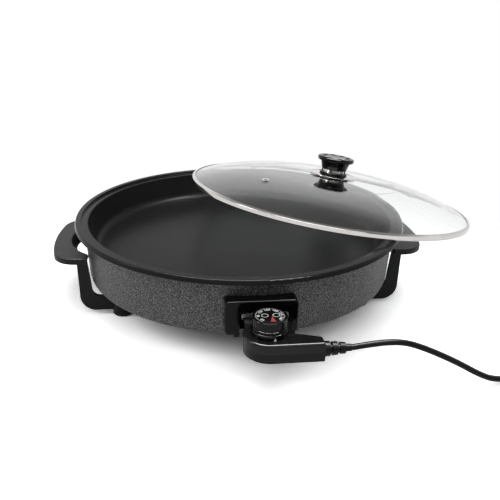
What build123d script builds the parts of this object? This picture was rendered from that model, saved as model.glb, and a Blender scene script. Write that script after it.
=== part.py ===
from build123d import *
import math
import os

# Electric skillet: a shallow cast pan in a deep skirt, carried by two moulded handles whose
# legs run down and under the skirt. A hooded socket at the front takes a plug-in thermostat
# with its dial, cord and mains plug. A loose domed glass lid lies askew on the rim.
# Millimetres. The origin is on the pan's axis, on the surface that the feet stand on.
# The front, where the thermostat plugs in, is -Y. The handles are on -X and +X.

os.makedirs("parts", exist_ok=True)

# Clearances.
seat_gap = 0.1  # between flat faces that rest on each other
fit_gap = 0.3  # round a piece that drops into another
slide_gap = 0.6  # round the thermostat where it slides in and out
bore_fit = 0.08  # round a shaft or pin that turns or slides in its bore

# Pan.
rim_height = 117.0  # top of the pan's raised ring above the table
ledge_depth = 3.0  # the lid's ledge lies this far below the ring
cooking_depth = 40.5  # from the ring down to the cooking surface
mouth_radius = 200.0  # inner edge of the ledge
wall_foot_radius = mouth_radius - 6.5  # where the inner wall would meet the cooking surface
inner_corner_radius = 11.0
ledge_width = 8.2
step_radius = mouth_radius + ledge_width
ring_radius = step_radius + 7.0  # outer edge of the ring's flat top
lip_radius = ring_radius + 1.8  # outermost point of the turned-down lip
lip_depth = 5.4
pan_wall = 2.6
base_thickness = 4.0

# Skirt and bottom cover.
skirt_depth = 74.0  # from the top of the ring down to the skirt's foot
skirt_foot_height = rim_height - skirt_depth
skirt_top_radius = lip_radius - 11.7
skirt_foot_radius = skirt_top_radius - 3.5
skirt_wall = 1.2
skirt_corner_radius = 6.0
skirt_flange_width = 11.5  # the inward flange that carries the bottom cover
cover_radius = skirt_foot_radius - 7.8
cover_thickness = 1.0

# Handles and feet.
grip_drop = 32.6
grip_top = rim_height - grip_drop
grip_thickness = 8.0
grip_reach = 28.0
grip_radius = lip_radius + grip_reach  # outer edge of the grip, about the pan's axis
grip_half_length = 72.0
grip_corner_radius = 29.0
grip_end_x = skirt_top_radius - 7.3  # inner edge of the grip's two ends
opening_radius = 74.0  # arc of the finger opening at the grip's top
opening_reach = lip_radius + 7.5  # how far out the finger opening goes at the top
funnel_radius = 48.0  # the same arc at the foot of the opening's sloping wall
funnel_reach = skirt_top_radius + 12.7
funnel_depth = 12.9
funnel_height = grip_top - funnel_depth
funnel_wall = 3.0
leg_front_y = 61.5  # outer face of each leg plate, from the middle of the handle
leg_thickness = 6.0
leg_inner_x = skirt_top_radius - 6.1
leg_outer_x = leg_inner_x + 12.2
leg_foot_inner_x = skirt_foot_radius - 7.2
leg_foot_outer_x = leg_foot_inner_x + 15.8
leg_bottom = 7.2
arm_height = 19.6
leg_corner_radius = 20.0
leg_inner_radius = 10.0
foot_setback = 43.8
foot_x = skirt_foot_radius - foot_setback
foot_inset = 4.5  # from the outer face of the leg plate to the middle of the foot
foot_radius = 13.0
foot_height = 4.0
foot_plug_radius = 5.3
screw_recess_height = 24.0  # where the heads of the handle screws bear
handle_screw_radius = 2.0
handle_screw_grip = 16.0  # length of thread in the pan

# Heating element. Its height is also that of the pins and of the probe.
element_drop = 8.5  # from the underside of the pan's base down to the element's middle
element_height = rim_height - cooking_depth - base_thickness - element_drop
element_setback = 82.0
element_ring_radius = mouth_radius - element_setback
element_radius = 4.0
element_bend_radius = 14.0  # where each lead turns out of the ring
strap_angles = (90, 210, 330)
strap_screw_offset = 10.5

# Socket.
guard_x = 1.5  # middle of the hood
guard_width = 79.0
guard_top = element_height + 30.0
guard_bottom = element_height - 10.0
guard_reach = 12.7
guard_front_y = skirt_top_radius + guard_reach  # the hood's front face, from the pan's axis
guard_depth = 22.0
guard_back_y = guard_front_y - guard_depth
guard_wall = 2.2
guard_corner_radius = 5.0
guard_edge_radius = 1.6
recess_left_x = -28.0
recess_right_x = 34.7
recess_top = element_height + 20.0
recess_depth = 3.5
recess_corner_radius = 4.0
socket_x = 5.5  # middle of the pins, the probe and the dial
frame_bottom = element_height - 14.5  # foot of the inner frame that surrounds the inlet
opening_half_width = 27.3
opening_top = element_height + 15.0
pin_spacing = 26.0
pin_radius = 2.4
pin_setback = 12.0
pin_tip_y = guard_front_y - pin_setback
inlet_hood_half_width = 25.3
inlet_hood_sheet = 1.0
inlet_hood_top = element_height + 13.6
inlet_hood_side_bottom = element_height + 7.0
inlet_hood_lip = 5.0
inlet_hood_front_y = guard_front_y - 4.0
block_setback = 36.0
block_front_y = guard_front_y - block_setback
block_depth = 24.0
block_front_wall = 2.0
block_half_width = 19.5
block_ear_spacing = 49.0

# Thermostat.
housing_top = element_height + 8.0
housing_bottom = element_height - 13.8
housing_parting = element_height - 3.0
dial_reach = 26.5
dial_y = guard_front_y + dial_reach
end_radius = 27.2  # round end of the housing, about the dial's axis
housing_back_y = guard_front_y + 3.5
housing_shoulder_x = 32.7
housing_shoulder_y = dial_y + 3.5
tail_x = 59.0
tail_back_y = dial_y + 11.0
tail_corner_run = 1.6
tail_corner_rise = 2.4
housing_wall = 2.2
nose_half_width = 23.0
nose_setback = 25.0
nose_tip_y = guard_front_y - nose_setback
nose_top = element_height + 7.4
nose_bottom = element_height - 11.0
probe_radius = 3.0
probe_setback = 96.0
probe_tip_y = guard_front_y - probe_setback
dial_radius = 18.3
dial_bottom = housing_top + 10.3
dial_top = dial_bottom + 9.0
dial_flute_count = 30
collar_radius = 19.3
spindle_radius = 3.0
relief_length = 28.4
relief_rib_count = 3

# Cord.
cord_diameter = 6.6
cord_offset = 19.0
cord_y = dial_y + cord_offset
cord_height = element_height - 3.0
coil_x = 330.0
coil_offset = 28.5
coil_y = cord_y + coil_offset
coil_turn_radius = 38.0  # middle of the outer turns
coil_columns = 2
coil_layers = 3
coil_lift = 1.1  # thickness of the tie that the coil lies on
plug_radius = 17.4

# Lid.
lid_x = 0.725 * mouth_radius
lid_y = 0.4165 * mouth_radius
lid_rest = 7.43  # height of the lid's band plane over the ring where the band crosses it
lid_tilt = 9.52  # degrees from level
lid_fall = 29.52  # degrees from +X towards +Y, the way that the low side points
glass_radius = step_radius - 2.6
glass_thickness = 4.0
crown_height = 28.5
shoulder_width = 110.6
crown_edge_radius = glass_radius - shoulder_width
crown_edge_height = 25.2
glass_edge_height = -0.3
band_radius = glass_radius + 1.6
band_bottom = -6.3
band_sheet = 0.6
band_lip = 4.0
vent_inset = 74.6
vent_radius = glass_radius - vent_inset
vent_angle = -149.5
knob_radius = 26.8
knob_top_height = 56.5
knob_disc_height = 50.1
knob_foot_radius = 18.2
knob_foot_height = 37.7
knob_dent_count = 8
flange_radius = 34.5
base_ring_radius = 20.5
knob_post_count = 6
knob_screw_radius = 2.5
retainer_radius = 25.8
retainer_lobe_count = 8

# Places that follow from the sizes above.
ledge_height = rim_height - ledge_depth
floor_height = rim_height - cooking_depth
base_underside = floor_height - base_thickness
ledge_underside = ledge_height - pan_wall
skirt_top = ledge_underside - seat_gap
skirt_slope = (skirt_top_radius - skirt_foot_radius) / (skirt_top - skirt_foot_height)
cover_bottom = skirt_foot_height + skirt_wall + seat_gap
cover_top = cover_bottom + cover_thickness
pillar_bottom = cover_top + seat_gap
foot_y = leg_front_y - foot_inset
grip_bottom = grip_top - grip_thickness
lid_offset = math.hypot(lid_x, lid_y)
lid_crossing = (lid_offset**2 + band_radius**2 - ring_radius**2) / (2 * lid_offset)
lid_height = rim_height + lid_rest - lid_crossing * math.tan(math.radians(lid_tilt))
lid_place = Vector(lid_x, lid_y, lid_height)
pin_spots = (socket_x - pin_spacing / 2, socket_x + pin_spacing / 2)
ear_spots = (socket_x - block_ear_spacing / 2, socket_x + block_ear_spacing / 2)


# Outer radius of the skirt at a height above the table.
def skirt_radius_at(height):
    return skirt_foot_radius + skirt_slope * (height - skirt_foot_height)


# Upright plane through the pan's axis: local x runs outwards, local y runs up.
def radial_plane(angle):
    outward = Vector(1, 0, 0).rotate(Axis.Z, angle)
    return Plane((0, 0, 0), x_dir=outward, z_dir=outward.cross(Vector(0, 0, 1)))



# Pan: cooking surface, sloping wall, ledge for the lid, raised ring and turned-down lip.
# Underneath are pillars for the handle screws, a grooved ring that seats the element, the
# boss that the thermostat's probe enters and two pads for the inlet block.
pillar_radius = 8.0
groove_radius = element_radius + seat_gap
seat_ring_half_width = 6.4
strap_pad_length = 31.0
strap_pad_width = 13.0
strap_screw_radius = 1.5
lead_gate_width = 96.0
probe_boss_radius = 6.4
probe_bore_radius = probe_radius + slide_gap
probe_boss_setback = 26.0
probe_boss_front_y = block_front_y - probe_boss_setback
probe_boss_back_y = probe_tip_y - 9.0
ear_pad_radius = 5.0
ear_pad_height = 6.0
ear_y = block_front_y - block_depth + ear_pad_radius + 1.0
ear_screw_radius = 1.75
strap_hole_depth = 7.0
probe_bore_clearance = 3.0
handle_screw_clearance = 2.0
with BuildPart() as pan:
    with BuildSketch(Plane.XZ):
        with BuildLine():
            FilletPolyline(
                (0, floor_height),
                (wall_foot_radius, floor_height),
                (mouth_radius, ledge_height),
                (step_radius, ledge_height),
                (step_radius + 0.6, rim_height),
                (ring_radius, rim_height),
                (lip_radius, rim_height - lip_depth),
                (lip_radius - pan_wall, rim_height - lip_depth),
                (ring_radius - pan_wall + 0.4, rim_height - pan_wall),
                (step_radius + pan_wall, rim_height - pan_wall),
                (step_radius + pan_wall - 0.6, ledge_underside),
                (mouth_radius + pan_wall, ledge_underside),
                (wall_foot_radius + pan_wall, base_underside),
                (0, base_underside),
                radius=[inner_corner_radius, 1.5, 0.6, 0.7, 1.6, 0.6, 0.6, 0.4, 0.4, 0.4, 0.6,
                        inner_corner_radius + pan_wall],
            )
            Line((0, base_underside), (0, floor_height))
        make_face()
    revolve(axis=Axis.Z)
    with BuildSketch(Plane.XY.offset(element_height)):
        Circle(element_ring_radius + seat_ring_half_width)
        Circle(element_ring_radius - seat_ring_half_width, mode=Mode.SUBTRACT)
        for strap_angle in strap_angles:
            with Locations(Rot(0, 0, strap_angle) * Pos(element_ring_radius, 0)):
                Rectangle(strap_pad_length, strap_pad_width)
        with Locations((socket_x, -element_ring_radius)):
            Rectangle(lead_gate_width, lead_gate_width, mode=Mode.SUBTRACT)
    extrude(amount=base_underside - element_height + seat_gap)
    with BuildSketch(Plane.XZ):
        with Locations((element_ring_radius, element_height)):
            Circle(groove_radius)
    revolve(axis=Axis.Z, mode=Mode.SUBTRACT)
    with BuildSketch(Plane.XY.offset(element_height)):
        for strap_angle in strap_angles:
            with Locations(Rot(0, 0, strap_angle) * Pos(element_ring_radius, 0)):
                with GridLocations(2 * strap_screw_offset, 1, 2, 1):
                    Circle(strap_screw_radius)
    extrude(amount=strap_hole_depth, mode=Mode.SUBTRACT)
    with BuildSketch(Plane.XY.offset(pillar_bottom)):
        with GridLocations(2 * foot_x, 2 * foot_y, 2, 2):
            Circle(pillar_radius)
    extrude(amount=base_underside - pillar_bottom + seat_gap)
    with BuildSketch(Plane.XY.offset(pillar_bottom)):
        with GridLocations(2 * foot_x, 2 * foot_y, 2, 2):
            Circle(handle_screw_radius + seat_gap)
    extrude(amount=handle_screw_grip + handle_screw_clearance, mode=Mode.SUBTRACT)
    with BuildSketch(Plane.XZ.offset(probe_boss_back_y)):
        with Locations((socket_x, element_height)):
            Circle(probe_boss_radius)
            Rectangle(2 * probe_boss_radius, base_underside - element_height + seat_gap,
                      align=(Align.CENTER, Align.MIN))
    extrude(amount=probe_boss_front_y - probe_boss_back_y)
    with BuildSketch(Plane.XZ.offset(probe_tip_y - probe_bore_clearance)):
        with Locations((socket_x, element_height)):
            Circle(probe_bore_radius)
    extrude(amount=probe_boss_front_y - probe_tip_y + probe_bore_clearance, mode=Mode.SUBTRACT)
    with BuildSketch(Plane.XY.offset(base_underside - ear_pad_height)):
        with Locations((socket_x, -ear_y)):
            with GridLocations(block_ear_spacing, 1, 2, 1):
                Circle(ear_pad_radius)
                Circle(ear_screw_radius + seat_gap, mode=Mode.SUBTRACT)
    extrude(amount=ear_pad_height + seat_gap)
pan.part.label = "pan"
export_step(pan.part, "parts/pan.step")

# Outer skirt: one drawn sheet with a rounded foot, an inward flange for the cover and a
# window for the inlet. The guard's screws pass through it from inside.
guard_screw_x = ((-guard_width / 2 + guard_x + recess_left_x) / 2,
                 (guard_width / 2 + guard_x + recess_right_x) / 2)
guard_screw_heights = (element_height - 4.0, element_height + 24.0)
guard_screw_radius = 1.3
window_half_width = opening_half_width - 1.2
window_bottom = element_height - 12.2
window_top = element_height + 10.5
window_corner_radius = 2.0
with BuildPart() as outer_skirt:
    with BuildSketch(Plane.XZ):
        with BuildLine():
            FilletPolyline(
                (skirt_foot_radius - skirt_flange_width, skirt_foot_height),
                (skirt_foot_radius, skirt_foot_height),
                (skirt_top_radius, skirt_top),
                (skirt_top_radius - skirt_wall, skirt_top),
                (skirt_foot_radius - skirt_wall, skirt_foot_height + skirt_wall),
                (skirt_foot_radius - skirt_flange_width, skirt_foot_height + skirt_wall),
                radius=[skirt_corner_radius, 0, 0, skirt_corner_radius - skirt_wall],
                close=False,
            )
            Line((skirt_foot_radius - skirt_flange_width, skirt_foot_height + skirt_wall),
                 (skirt_foot_radius - skirt_flange_width, skirt_foot_height))
        make_face()
    revolve(axis=Axis.Z)
    with BuildSketch(Plane.XZ.offset(mouth_radius / 2)):
        with Locations((socket_x, (window_bottom + window_top) / 2)):
            RectangleRounded(2 * window_half_width, window_top - window_bottom,
                             window_corner_radius)
        for screw_x in guard_screw_x:
            for screw_height in guard_screw_heights:
                with Locations((screw_x, screw_height)):
                    Circle(guard_screw_radius + fit_gap)
    extrude(amount=mouth_radius, mode=Mode.SUBTRACT)
outer_skirt.part.label = "outer_skirt"
export_step(outer_skirt.part, "parts/outer_skirt.step")

# Bottom cover: a pressed disc on the skirt's flange, stiffened by a raised ring and
# pierced by radial air slots and by the holes for the handle screws.
cover_bead_height = 3.0
cover_bead_inset = 56.0
cover_bead_width = 42.0
cover_bead_outer = cover_radius - cover_bead_inset
cover_bead_inner = cover_bead_outer - cover_bead_width
cover_bead_slope = 4.0
cover_bead_sheet_shift = 0.4
cover_slot_count = 12
cover_slot_length = 24.0
cover_slot_width = 4.0
with BuildPart() as bottom_cover:
    with BuildSketch(Plane.XZ):
        with BuildLine():
            Polyline(
                (0, cover_bottom),
                (cover_bead_inner, cover_bottom),
                (cover_bead_inner + cover_bead_slope, cover_bottom + cover_bead_height),
                (cover_bead_outer - cover_bead_slope, cover_bottom + cover_bead_height),
                (cover_bead_outer, cover_bottom),
                (cover_radius, cover_bottom),
                (cover_radius, cover_top),
                (cover_bead_outer + cover_bead_sheet_shift, cover_top),
                (cover_bead_outer + cover_bead_sheet_shift - cover_bead_slope,
                 cover_top + cover_bead_height),
                (cover_bead_inner - cover_bead_sheet_shift + cover_bead_slope,
                 cover_top + cover_bead_height),
                (cover_bead_inner - cover_bead_sheet_shift, cover_top),
                (0, cover_top),
                close=True,
            )
        make_face()
    revolve(axis=Axis.Z)
    with BuildSketch(Plane.XY.offset(cover_bottom)):
        with PolarLocations((cover_bead_inner + cover_bead_outer) / 2, cover_slot_count):
            SlotOverall(cover_slot_length, cover_slot_width)
        with GridLocations(2 * foot_x, 2 * foot_y, 2, 2):
            Circle(handle_screw_radius + fit_gap)
    extrude(amount=2 * cover_bead_height, mode=Mode.SUBTRACT)
bottom_cover.part.label = "bottom_cover"
export_step(bottom_cover.part, "parts/bottom_cover.step")

# Right handle: a flat curved grip with a finger opening, two L-shaped leg plates below it
# and, at the end of each leg, a boss that stands on its rubber foot and carries the pan.
handle_edge_radius = 1.4
opening_edge_radius = 2.5
with BuildPart() as funnel_room:
    with BuildSketch(Plane.XY.offset(grip_top)):
        with Locations((opening_reach - opening_radius, 0)):
            Circle(opening_radius)
    with BuildSketch(Plane.XY.offset(funnel_height)):
        with Locations((funnel_reach - funnel_radius, 0)):
            Circle(funnel_radius)
    loft(ruled=True)
with BuildPart() as funnel_outside:
    with BuildSketch(Plane.XY.offset(grip_top - opening_edge_radius)):
        with Locations((opening_reach - opening_radius, 0)):
            Circle(opening_radius + funnel_wall)
    with BuildSketch(Plane.XY.offset(funnel_height)):
        with Locations((funnel_reach - funnel_radius, 0)):
            Circle(funnel_radius + funnel_wall)
    loft(ruled=True)
    with BuildSketch():
        Circle(skirt_top_radius + 1.5)
    extrude(amount=grip_top, mode=Mode.SUBTRACT)
with BuildPart() as handle_right:
    with BuildSketch(Plane.XY.offset(grip_bottom)) as grip_plan:
        Circle(grip_radius)
        with Locations((grip_end_x, 0)):
            Rectangle(grip_radius, 2 * grip_half_length, align=(Align.MIN, Align.CENTER),
                      mode=Mode.INTERSECT)
        fillet(grip_plan.vertices().group_by(Axis.X)[1], grip_corner_radius)
    extrude(amount=grip_thickness)
    fillet(handle_right.faces().sort_by(Axis.Z)[-1].edges().sort_by(Axis.X)[1:],
           handle_edge_radius)
    fillet(handle_right.faces().sort_by(Axis.Z)[0].edges(), handle_edge_radius)
    add(funnel_outside.part)
    add(funnel_room.part, mode=Mode.SUBTRACT)
    fillet(handle_right.faces().sort_by(Axis.Z)[-1].edges().filter_by(GeomType.CIRCLE)
           .sort_by(SortBy.RADIUS)[-2:-1], opening_edge_radius)
    for leg_y in (leg_front_y, leg_thickness - leg_front_y):
        with BuildSketch(Plane.XZ.offset(leg_y)):
            with BuildLine():
                FilletPolyline(
                    (leg_inner_x, grip_bottom + 3.0),
                    (leg_outer_x, grip_bottom + 3.0),
                    (leg_foot_outer_x, leg_bottom),
                    (foot_x, leg_bottom),
                    (foot_x, leg_bottom + arm_height),
                    (leg_foot_inner_x, leg_bottom + arm_height),
                    radius=[0, 0, leg_corner_radius, 0, 0, leg_inner_radius],
                    close=True,
                )
            make_face()
        extrude(amount=-leg_thickness)
    with BuildSketch(Plane.XY.offset(foot_height + seat_gap)):
        with Locations((foot_x, 0)):
            with GridLocations(1, 2 * foot_y, 1, 2):
                Circle(foot_radius)
    extrude(amount=cover_bottom - foot_height - 2 * seat_gap)
    with BuildSketch(Plane.XY.offset(foot_height)):
        with Locations((foot_x, 0)):
            with GridLocations(1, 2 * foot_y, 1, 2):
                Circle(handle_screw_radius + fit_gap)
    extrude(amount=cover_bottom, mode=Mode.SUBTRACT)
    with BuildSketch(Plane.XY.offset(foot_height)):
        with Locations((foot_x, 0)):
            with GridLocations(1, 2 * foot_y, 1, 2):
                Circle(foot_plug_radius + fit_gap)
    extrude(amount=screw_recess_height - foot_height, mode=Mode.SUBTRACT)
handle_right.part.label = "handle_right"
export_step(handle_right.part, "parts/handle_right.step")

# Left handle: the right one mirrored.
with BuildPart() as handle_left:
    mirror(handle_right.part, about=Plane.YZ)
handle_left.part.label = "handle_left"
export_step(handle_left.part, "parts/handle_left.step")

# Handle screws: long screws up through the bosses and the cover into the pan's pillars.
handle_screw_head_radius = 4.6
handle_screw_head_height = 3.2
handle_screw_slot_length = 5.0
handle_screw_slot_width = 1.2
with BuildPart() as handle_screws:
    with BuildSketch(Plane.XY.offset(screw_recess_height - seat_gap - handle_screw_head_height)):
        with GridLocations(2 * foot_x, 2 * foot_y, 2, 2):
            Circle(handle_screw_head_radius)
            RectangleRounded(handle_screw_slot_length, handle_screw_slot_width, 0.3,
                             mode=Mode.SUBTRACT)
    extrude(amount=handle_screw_head_height)
    with BuildSketch(Plane.XY.offset(screw_recess_height - seat_gap - 2.0)):
        with GridLocations(2 * foot_x, 2 * foot_y, 2, 2):
            Circle(handle_screw_radius)
    extrude(amount=pillar_bottom + handle_screw_grip - screw_recess_height + 2.0)
handle_screws.part.label = "handle_screws"
export_step(handle_screws.part, "parts/handle_screws.step")

# Rubber feet: a pad with a plug that fills the mouth of the screw recess.
foot_plug_height = 6.0
foot_edge = 1.0
with BuildPart() as rubber_feet:
    with BuildSketch():
        with GridLocations(2 * foot_x, 2 * foot_y, 2, 2):
            Circle(foot_radius)
    extrude(amount=foot_height)
    chamfer(rubber_feet.faces().group_by(Axis.Z)[0].edges(), foot_edge)
    with BuildSketch(Plane.XY.offset(foot_height)):
        with GridLocations(2 * foot_x, 2 * foot_y, 2, 2):
            Circle(foot_plug_radius)
    extrude(amount=foot_plug_height)
rubber_feet.part.label = "rubber_feet"
export_step(rubber_feet.part, "parts/rubber_feet.step")

# Heating element: a tube bent to an open ring, whose ends turn out to the inlet. Each bend
# touches the ring from outside, so its centre lies one bend radius beyond both lines.
bend_centre_distance = element_ring_radius + element_bend_radius
bend_right_x = pin_spots[1] + element_bend_radius
bend_left_x = pin_spots[0] - element_bend_radius
bend_right_angle = -math.degrees(math.acos(bend_right_x / bend_centre_distance))
bend_left_angle = -math.degrees(math.acos(bend_left_x / bend_centre_distance))
bend_right_y = bend_centre_distance * math.sin(math.radians(bend_right_angle))
bend_left_y = bend_centre_distance * math.sin(math.radians(bend_left_angle))
pin_shoulder_thickness = 4.0
lead_end_y = block_front_y - block_front_wall - pin_shoulder_thickness - 2 * seat_gap
with BuildPart() as heating_element:
    with BuildLine(Plane.XY.offset(element_height)) as element_path:
        Line((pin_spots[1], -lead_end_y), (pin_spots[1], bend_right_y))
        CenterArc((bend_right_x, bend_right_y), element_bend_radius, 180, bend_right_angle)
        CenterArc((0, 0), element_ring_radius, bend_right_angle,
                  360 - bend_right_angle + bend_left_angle)
        CenterArc((bend_left_x, bend_left_y), element_bend_radius, bend_left_angle + 180,
                  -180 - bend_left_angle)
        Line((pin_spots[0], bend_left_y), (pin_spots[0], -lead_end_y))
    with BuildSketch(Plane.XZ.offset(lead_end_y)):
        with Locations((pin_spots[1], element_height)):
            Circle(element_radius)
    sweep(path=element_path.wires()[0])
heating_element.part.label = "heating_element"
export_step(heating_element.part, "parts/heating_element.step")

# Element straps: bridges over the tube, screwed to the pan on both sides of it.
strap_thickness = 1.2
strap_half_width = 5.0
strap_face = element_height - seat_gap
with BuildPart() as element_straps:
    for strap_angle in strap_angles:
        with BuildSketch(radial_plane(strap_angle)):
            with Locations((element_ring_radius, strap_face)):
                Rectangle(strap_pad_length - 2.0, strap_thickness, align=(Align.CENTER, Align.MAX))
            with Locations((element_ring_radius, element_height)):
                Circle(groove_radius + seat_gap + strap_thickness)
                Circle(groove_radius + seat_gap, mode=Mode.SUBTRACT)
            with Locations((element_ring_radius, strap_face)):
                Rectangle(strap_pad_length, 3 * element_radius, align=(Align.CENTER, Align.MIN),
                          mode=Mode.SUBTRACT)
        extrude(amount=strap_half_width, both=True)
    with BuildSketch(Plane.XY.offset(element_height)):
        for strap_angle in strap_angles:
            with Locations(Rot(0, 0, strap_angle) * Pos(element_ring_radius, 0)):
                with GridLocations(2 * strap_screw_offset, 1, 2, 1):
                    Circle(strap_screw_radius + seat_gap)
    extrude(amount=-2 * strap_thickness, mode=Mode.SUBTRACT)
element_straps.part.label = "element_straps"
export_step(element_straps.part, "parts/element_straps.step")

# Strap screws.
strap_screw_head_height = 1.8
strap_screw_length = 7.0
with BuildPart() as strap_screws:
    for strap_angle in strap_angles:
        with BuildSketch(Plane.XY.offset(strap_face - strap_thickness - seat_gap)):
            with Locations(Rot(0, 0, strap_angle) * Pos(element_ring_radius, 0)):
                with GridLocations(2 * strap_screw_offset, 1, 2, 1):
                    Circle(2 * strap_screw_radius)
        extrude(amount=-strap_screw_head_height)
        with BuildSketch(Plane.XY.offset(strap_face - strap_thickness - 1.0)):
            with Locations(Rot(0, 0, strap_angle) * Pos(element_ring_radius, 0)):
                with GridLocations(2 * strap_screw_offset, 1, 2, 1):
                    Circle(strap_screw_radius - seat_gap)
        extrude(amount=strap_screw_length)
strap_screws.part.label = "strap_screws"
export_step(strap_screws.part, "parts/strap_screws.step")

# Inlet block: an insulator threaded over the element's leads, with two ears screwed up to
# the pan. It holds the power pins and the earth blade and lets the probe pass.
block_bottom = element_height - 8.0
block_top = element_height + 6.0
ear_thickness = 4.0
ear_face = base_underside - ear_pad_height - seat_gap
lead_bore_radius = element_radius + 0.15
blade_height = element_height - 6.0
blade_half_width = 3.5
blade_thickness = 1.2
with BuildPart() as inlet_block:
    with BuildSketch(Plane.XZ.offset(block_front_y - block_depth)):
        with Locations((socket_x, block_bottom)):
            Rectangle(2 * block_half_width, block_top - block_bottom,
                      align=(Align.CENTER, Align.MIN))
    extrude(amount=block_depth)
    fillet(inlet_block.edges().filter_by(Axis.Y), 1.5)
    with BuildSketch(Plane.XY.offset(ear_face)):
        with Locations((socket_x, -ear_y)):
            SlotCenterToCenter(block_ear_spacing, 2 * ear_pad_radius)
    extrude(amount=-ear_thickness)
    with BuildSketch(Plane.XZ.offset(block_front_y - block_depth)):
        with Locations(*[(pin_x, element_height) for pin_x in pin_spots]):
            Circle(lead_bore_radius)
    extrude(amount=block_depth - block_front_wall, mode=Mode.SUBTRACT)
    with BuildSketch(Plane.XZ.offset(block_front_y - block_depth)):
        with Locations(*[(pin_x, element_height) for pin_x in pin_spots]):
            Circle(pin_radius + seat_gap)
        with Locations((socket_x, element_height)):
            Circle(probe_radius + 1.0)
        with Locations((socket_x, blade_height)):
            Rectangle(2 * blade_half_width + 2 * seat_gap, blade_thickness + 2 * seat_gap)
    extrude(amount=block_depth, mode=Mode.SUBTRACT)
    with BuildSketch(Plane.XY.offset(ear_face)):
        with Locations(*[(ear_x, -ear_y) for ear_x in ear_spots]):
            Circle(ear_screw_radius + seat_gap)
    extrude(amount=-2 * ear_thickness, mode=Mode.SUBTRACT)
inlet_block.part.label = "inlet_block"
export_step(inlet_block.part, "parts/inlet_block.step")

# Inlet screws.
ear_screw_head_height = 2.2
with BuildPart() as inlet_screws:
    for ear_x in ear_spots:
        with BuildSketch(Plane.XY.offset(ear_face - ear_thickness - seat_gap)):
            with Locations((ear_x, -ear_y)):
                Circle(2 * ear_screw_radius)
        extrude(amount=-ear_screw_head_height)
        with BuildSketch(Plane.XY.offset(ear_face - ear_thickness - 1.0)):
            with Locations((ear_x, -ear_y)):
                Circle(ear_screw_radius)
        extrude(amount=ear_thickness + ear_pad_height)
inlet_screws.part.label = "inlet_screws"
export_step(inlet_screws.part, "parts/inlet_screws.step")

# Power pins: round pins with a shoulder that the block's front wall holds.
pin_shoulder_y = block_front_y - block_front_wall - seat_gap
with BuildPart() as power_pins:
    for pin_x in pin_spots:
        with BuildSketch(Plane.XZ.offset(pin_shoulder_y - pin_shoulder_thickness)):
            with Locations((pin_x, element_height)):
                Circle(element_radius)
        extrude(amount=pin_shoulder_thickness)
        with BuildSketch(Plane.XZ.offset(pin_shoulder_y - 1.0)):
            with Locations((pin_x, element_height)):
                Circle(pin_radius)
        extrude(amount=pin_tip_y - pin_shoulder_y + 1.0)
    fillet(power_pins.faces().group_by(Axis.Y)[0].edges(), pin_radius - 0.6)
power_pins.part.label = "power_pins"
export_step(power_pins.part, "parts/power_pins.step")

# Earth pin: a flat blade below the probe, turned down behind the block.
with BuildPart() as earth_pin:
    with BuildSketch(Plane.YZ.offset(socket_x - blade_half_width)):
        with BuildLine():
            FilletPolyline(
                (-pin_tip_y + 2.0, blade_height + blade_thickness / 2),
                (-pin_tip_y + 2.0, blade_height - blade_thickness / 2),
                (block_depth - block_front_y + seat_gap, blade_height - blade_thickness / 2),
                (block_depth - block_front_y + seat_gap, blade_height - 8.0),
                (block_depth - block_front_y + seat_gap + blade_thickness, blade_height - 8.0),
                (block_depth - block_front_y + seat_gap + blade_thickness,
                 blade_height + blade_thickness / 2),
                radius=[0.4, 0.4, 0, 0, 0, 0.6],
                close=True,
            )
        make_face()
    extrude(amount=2 * blade_half_width)
earth_pin.part.label = "earth_pin"
export_step(earth_pin.part, "parts/earth_pin.step")

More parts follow.
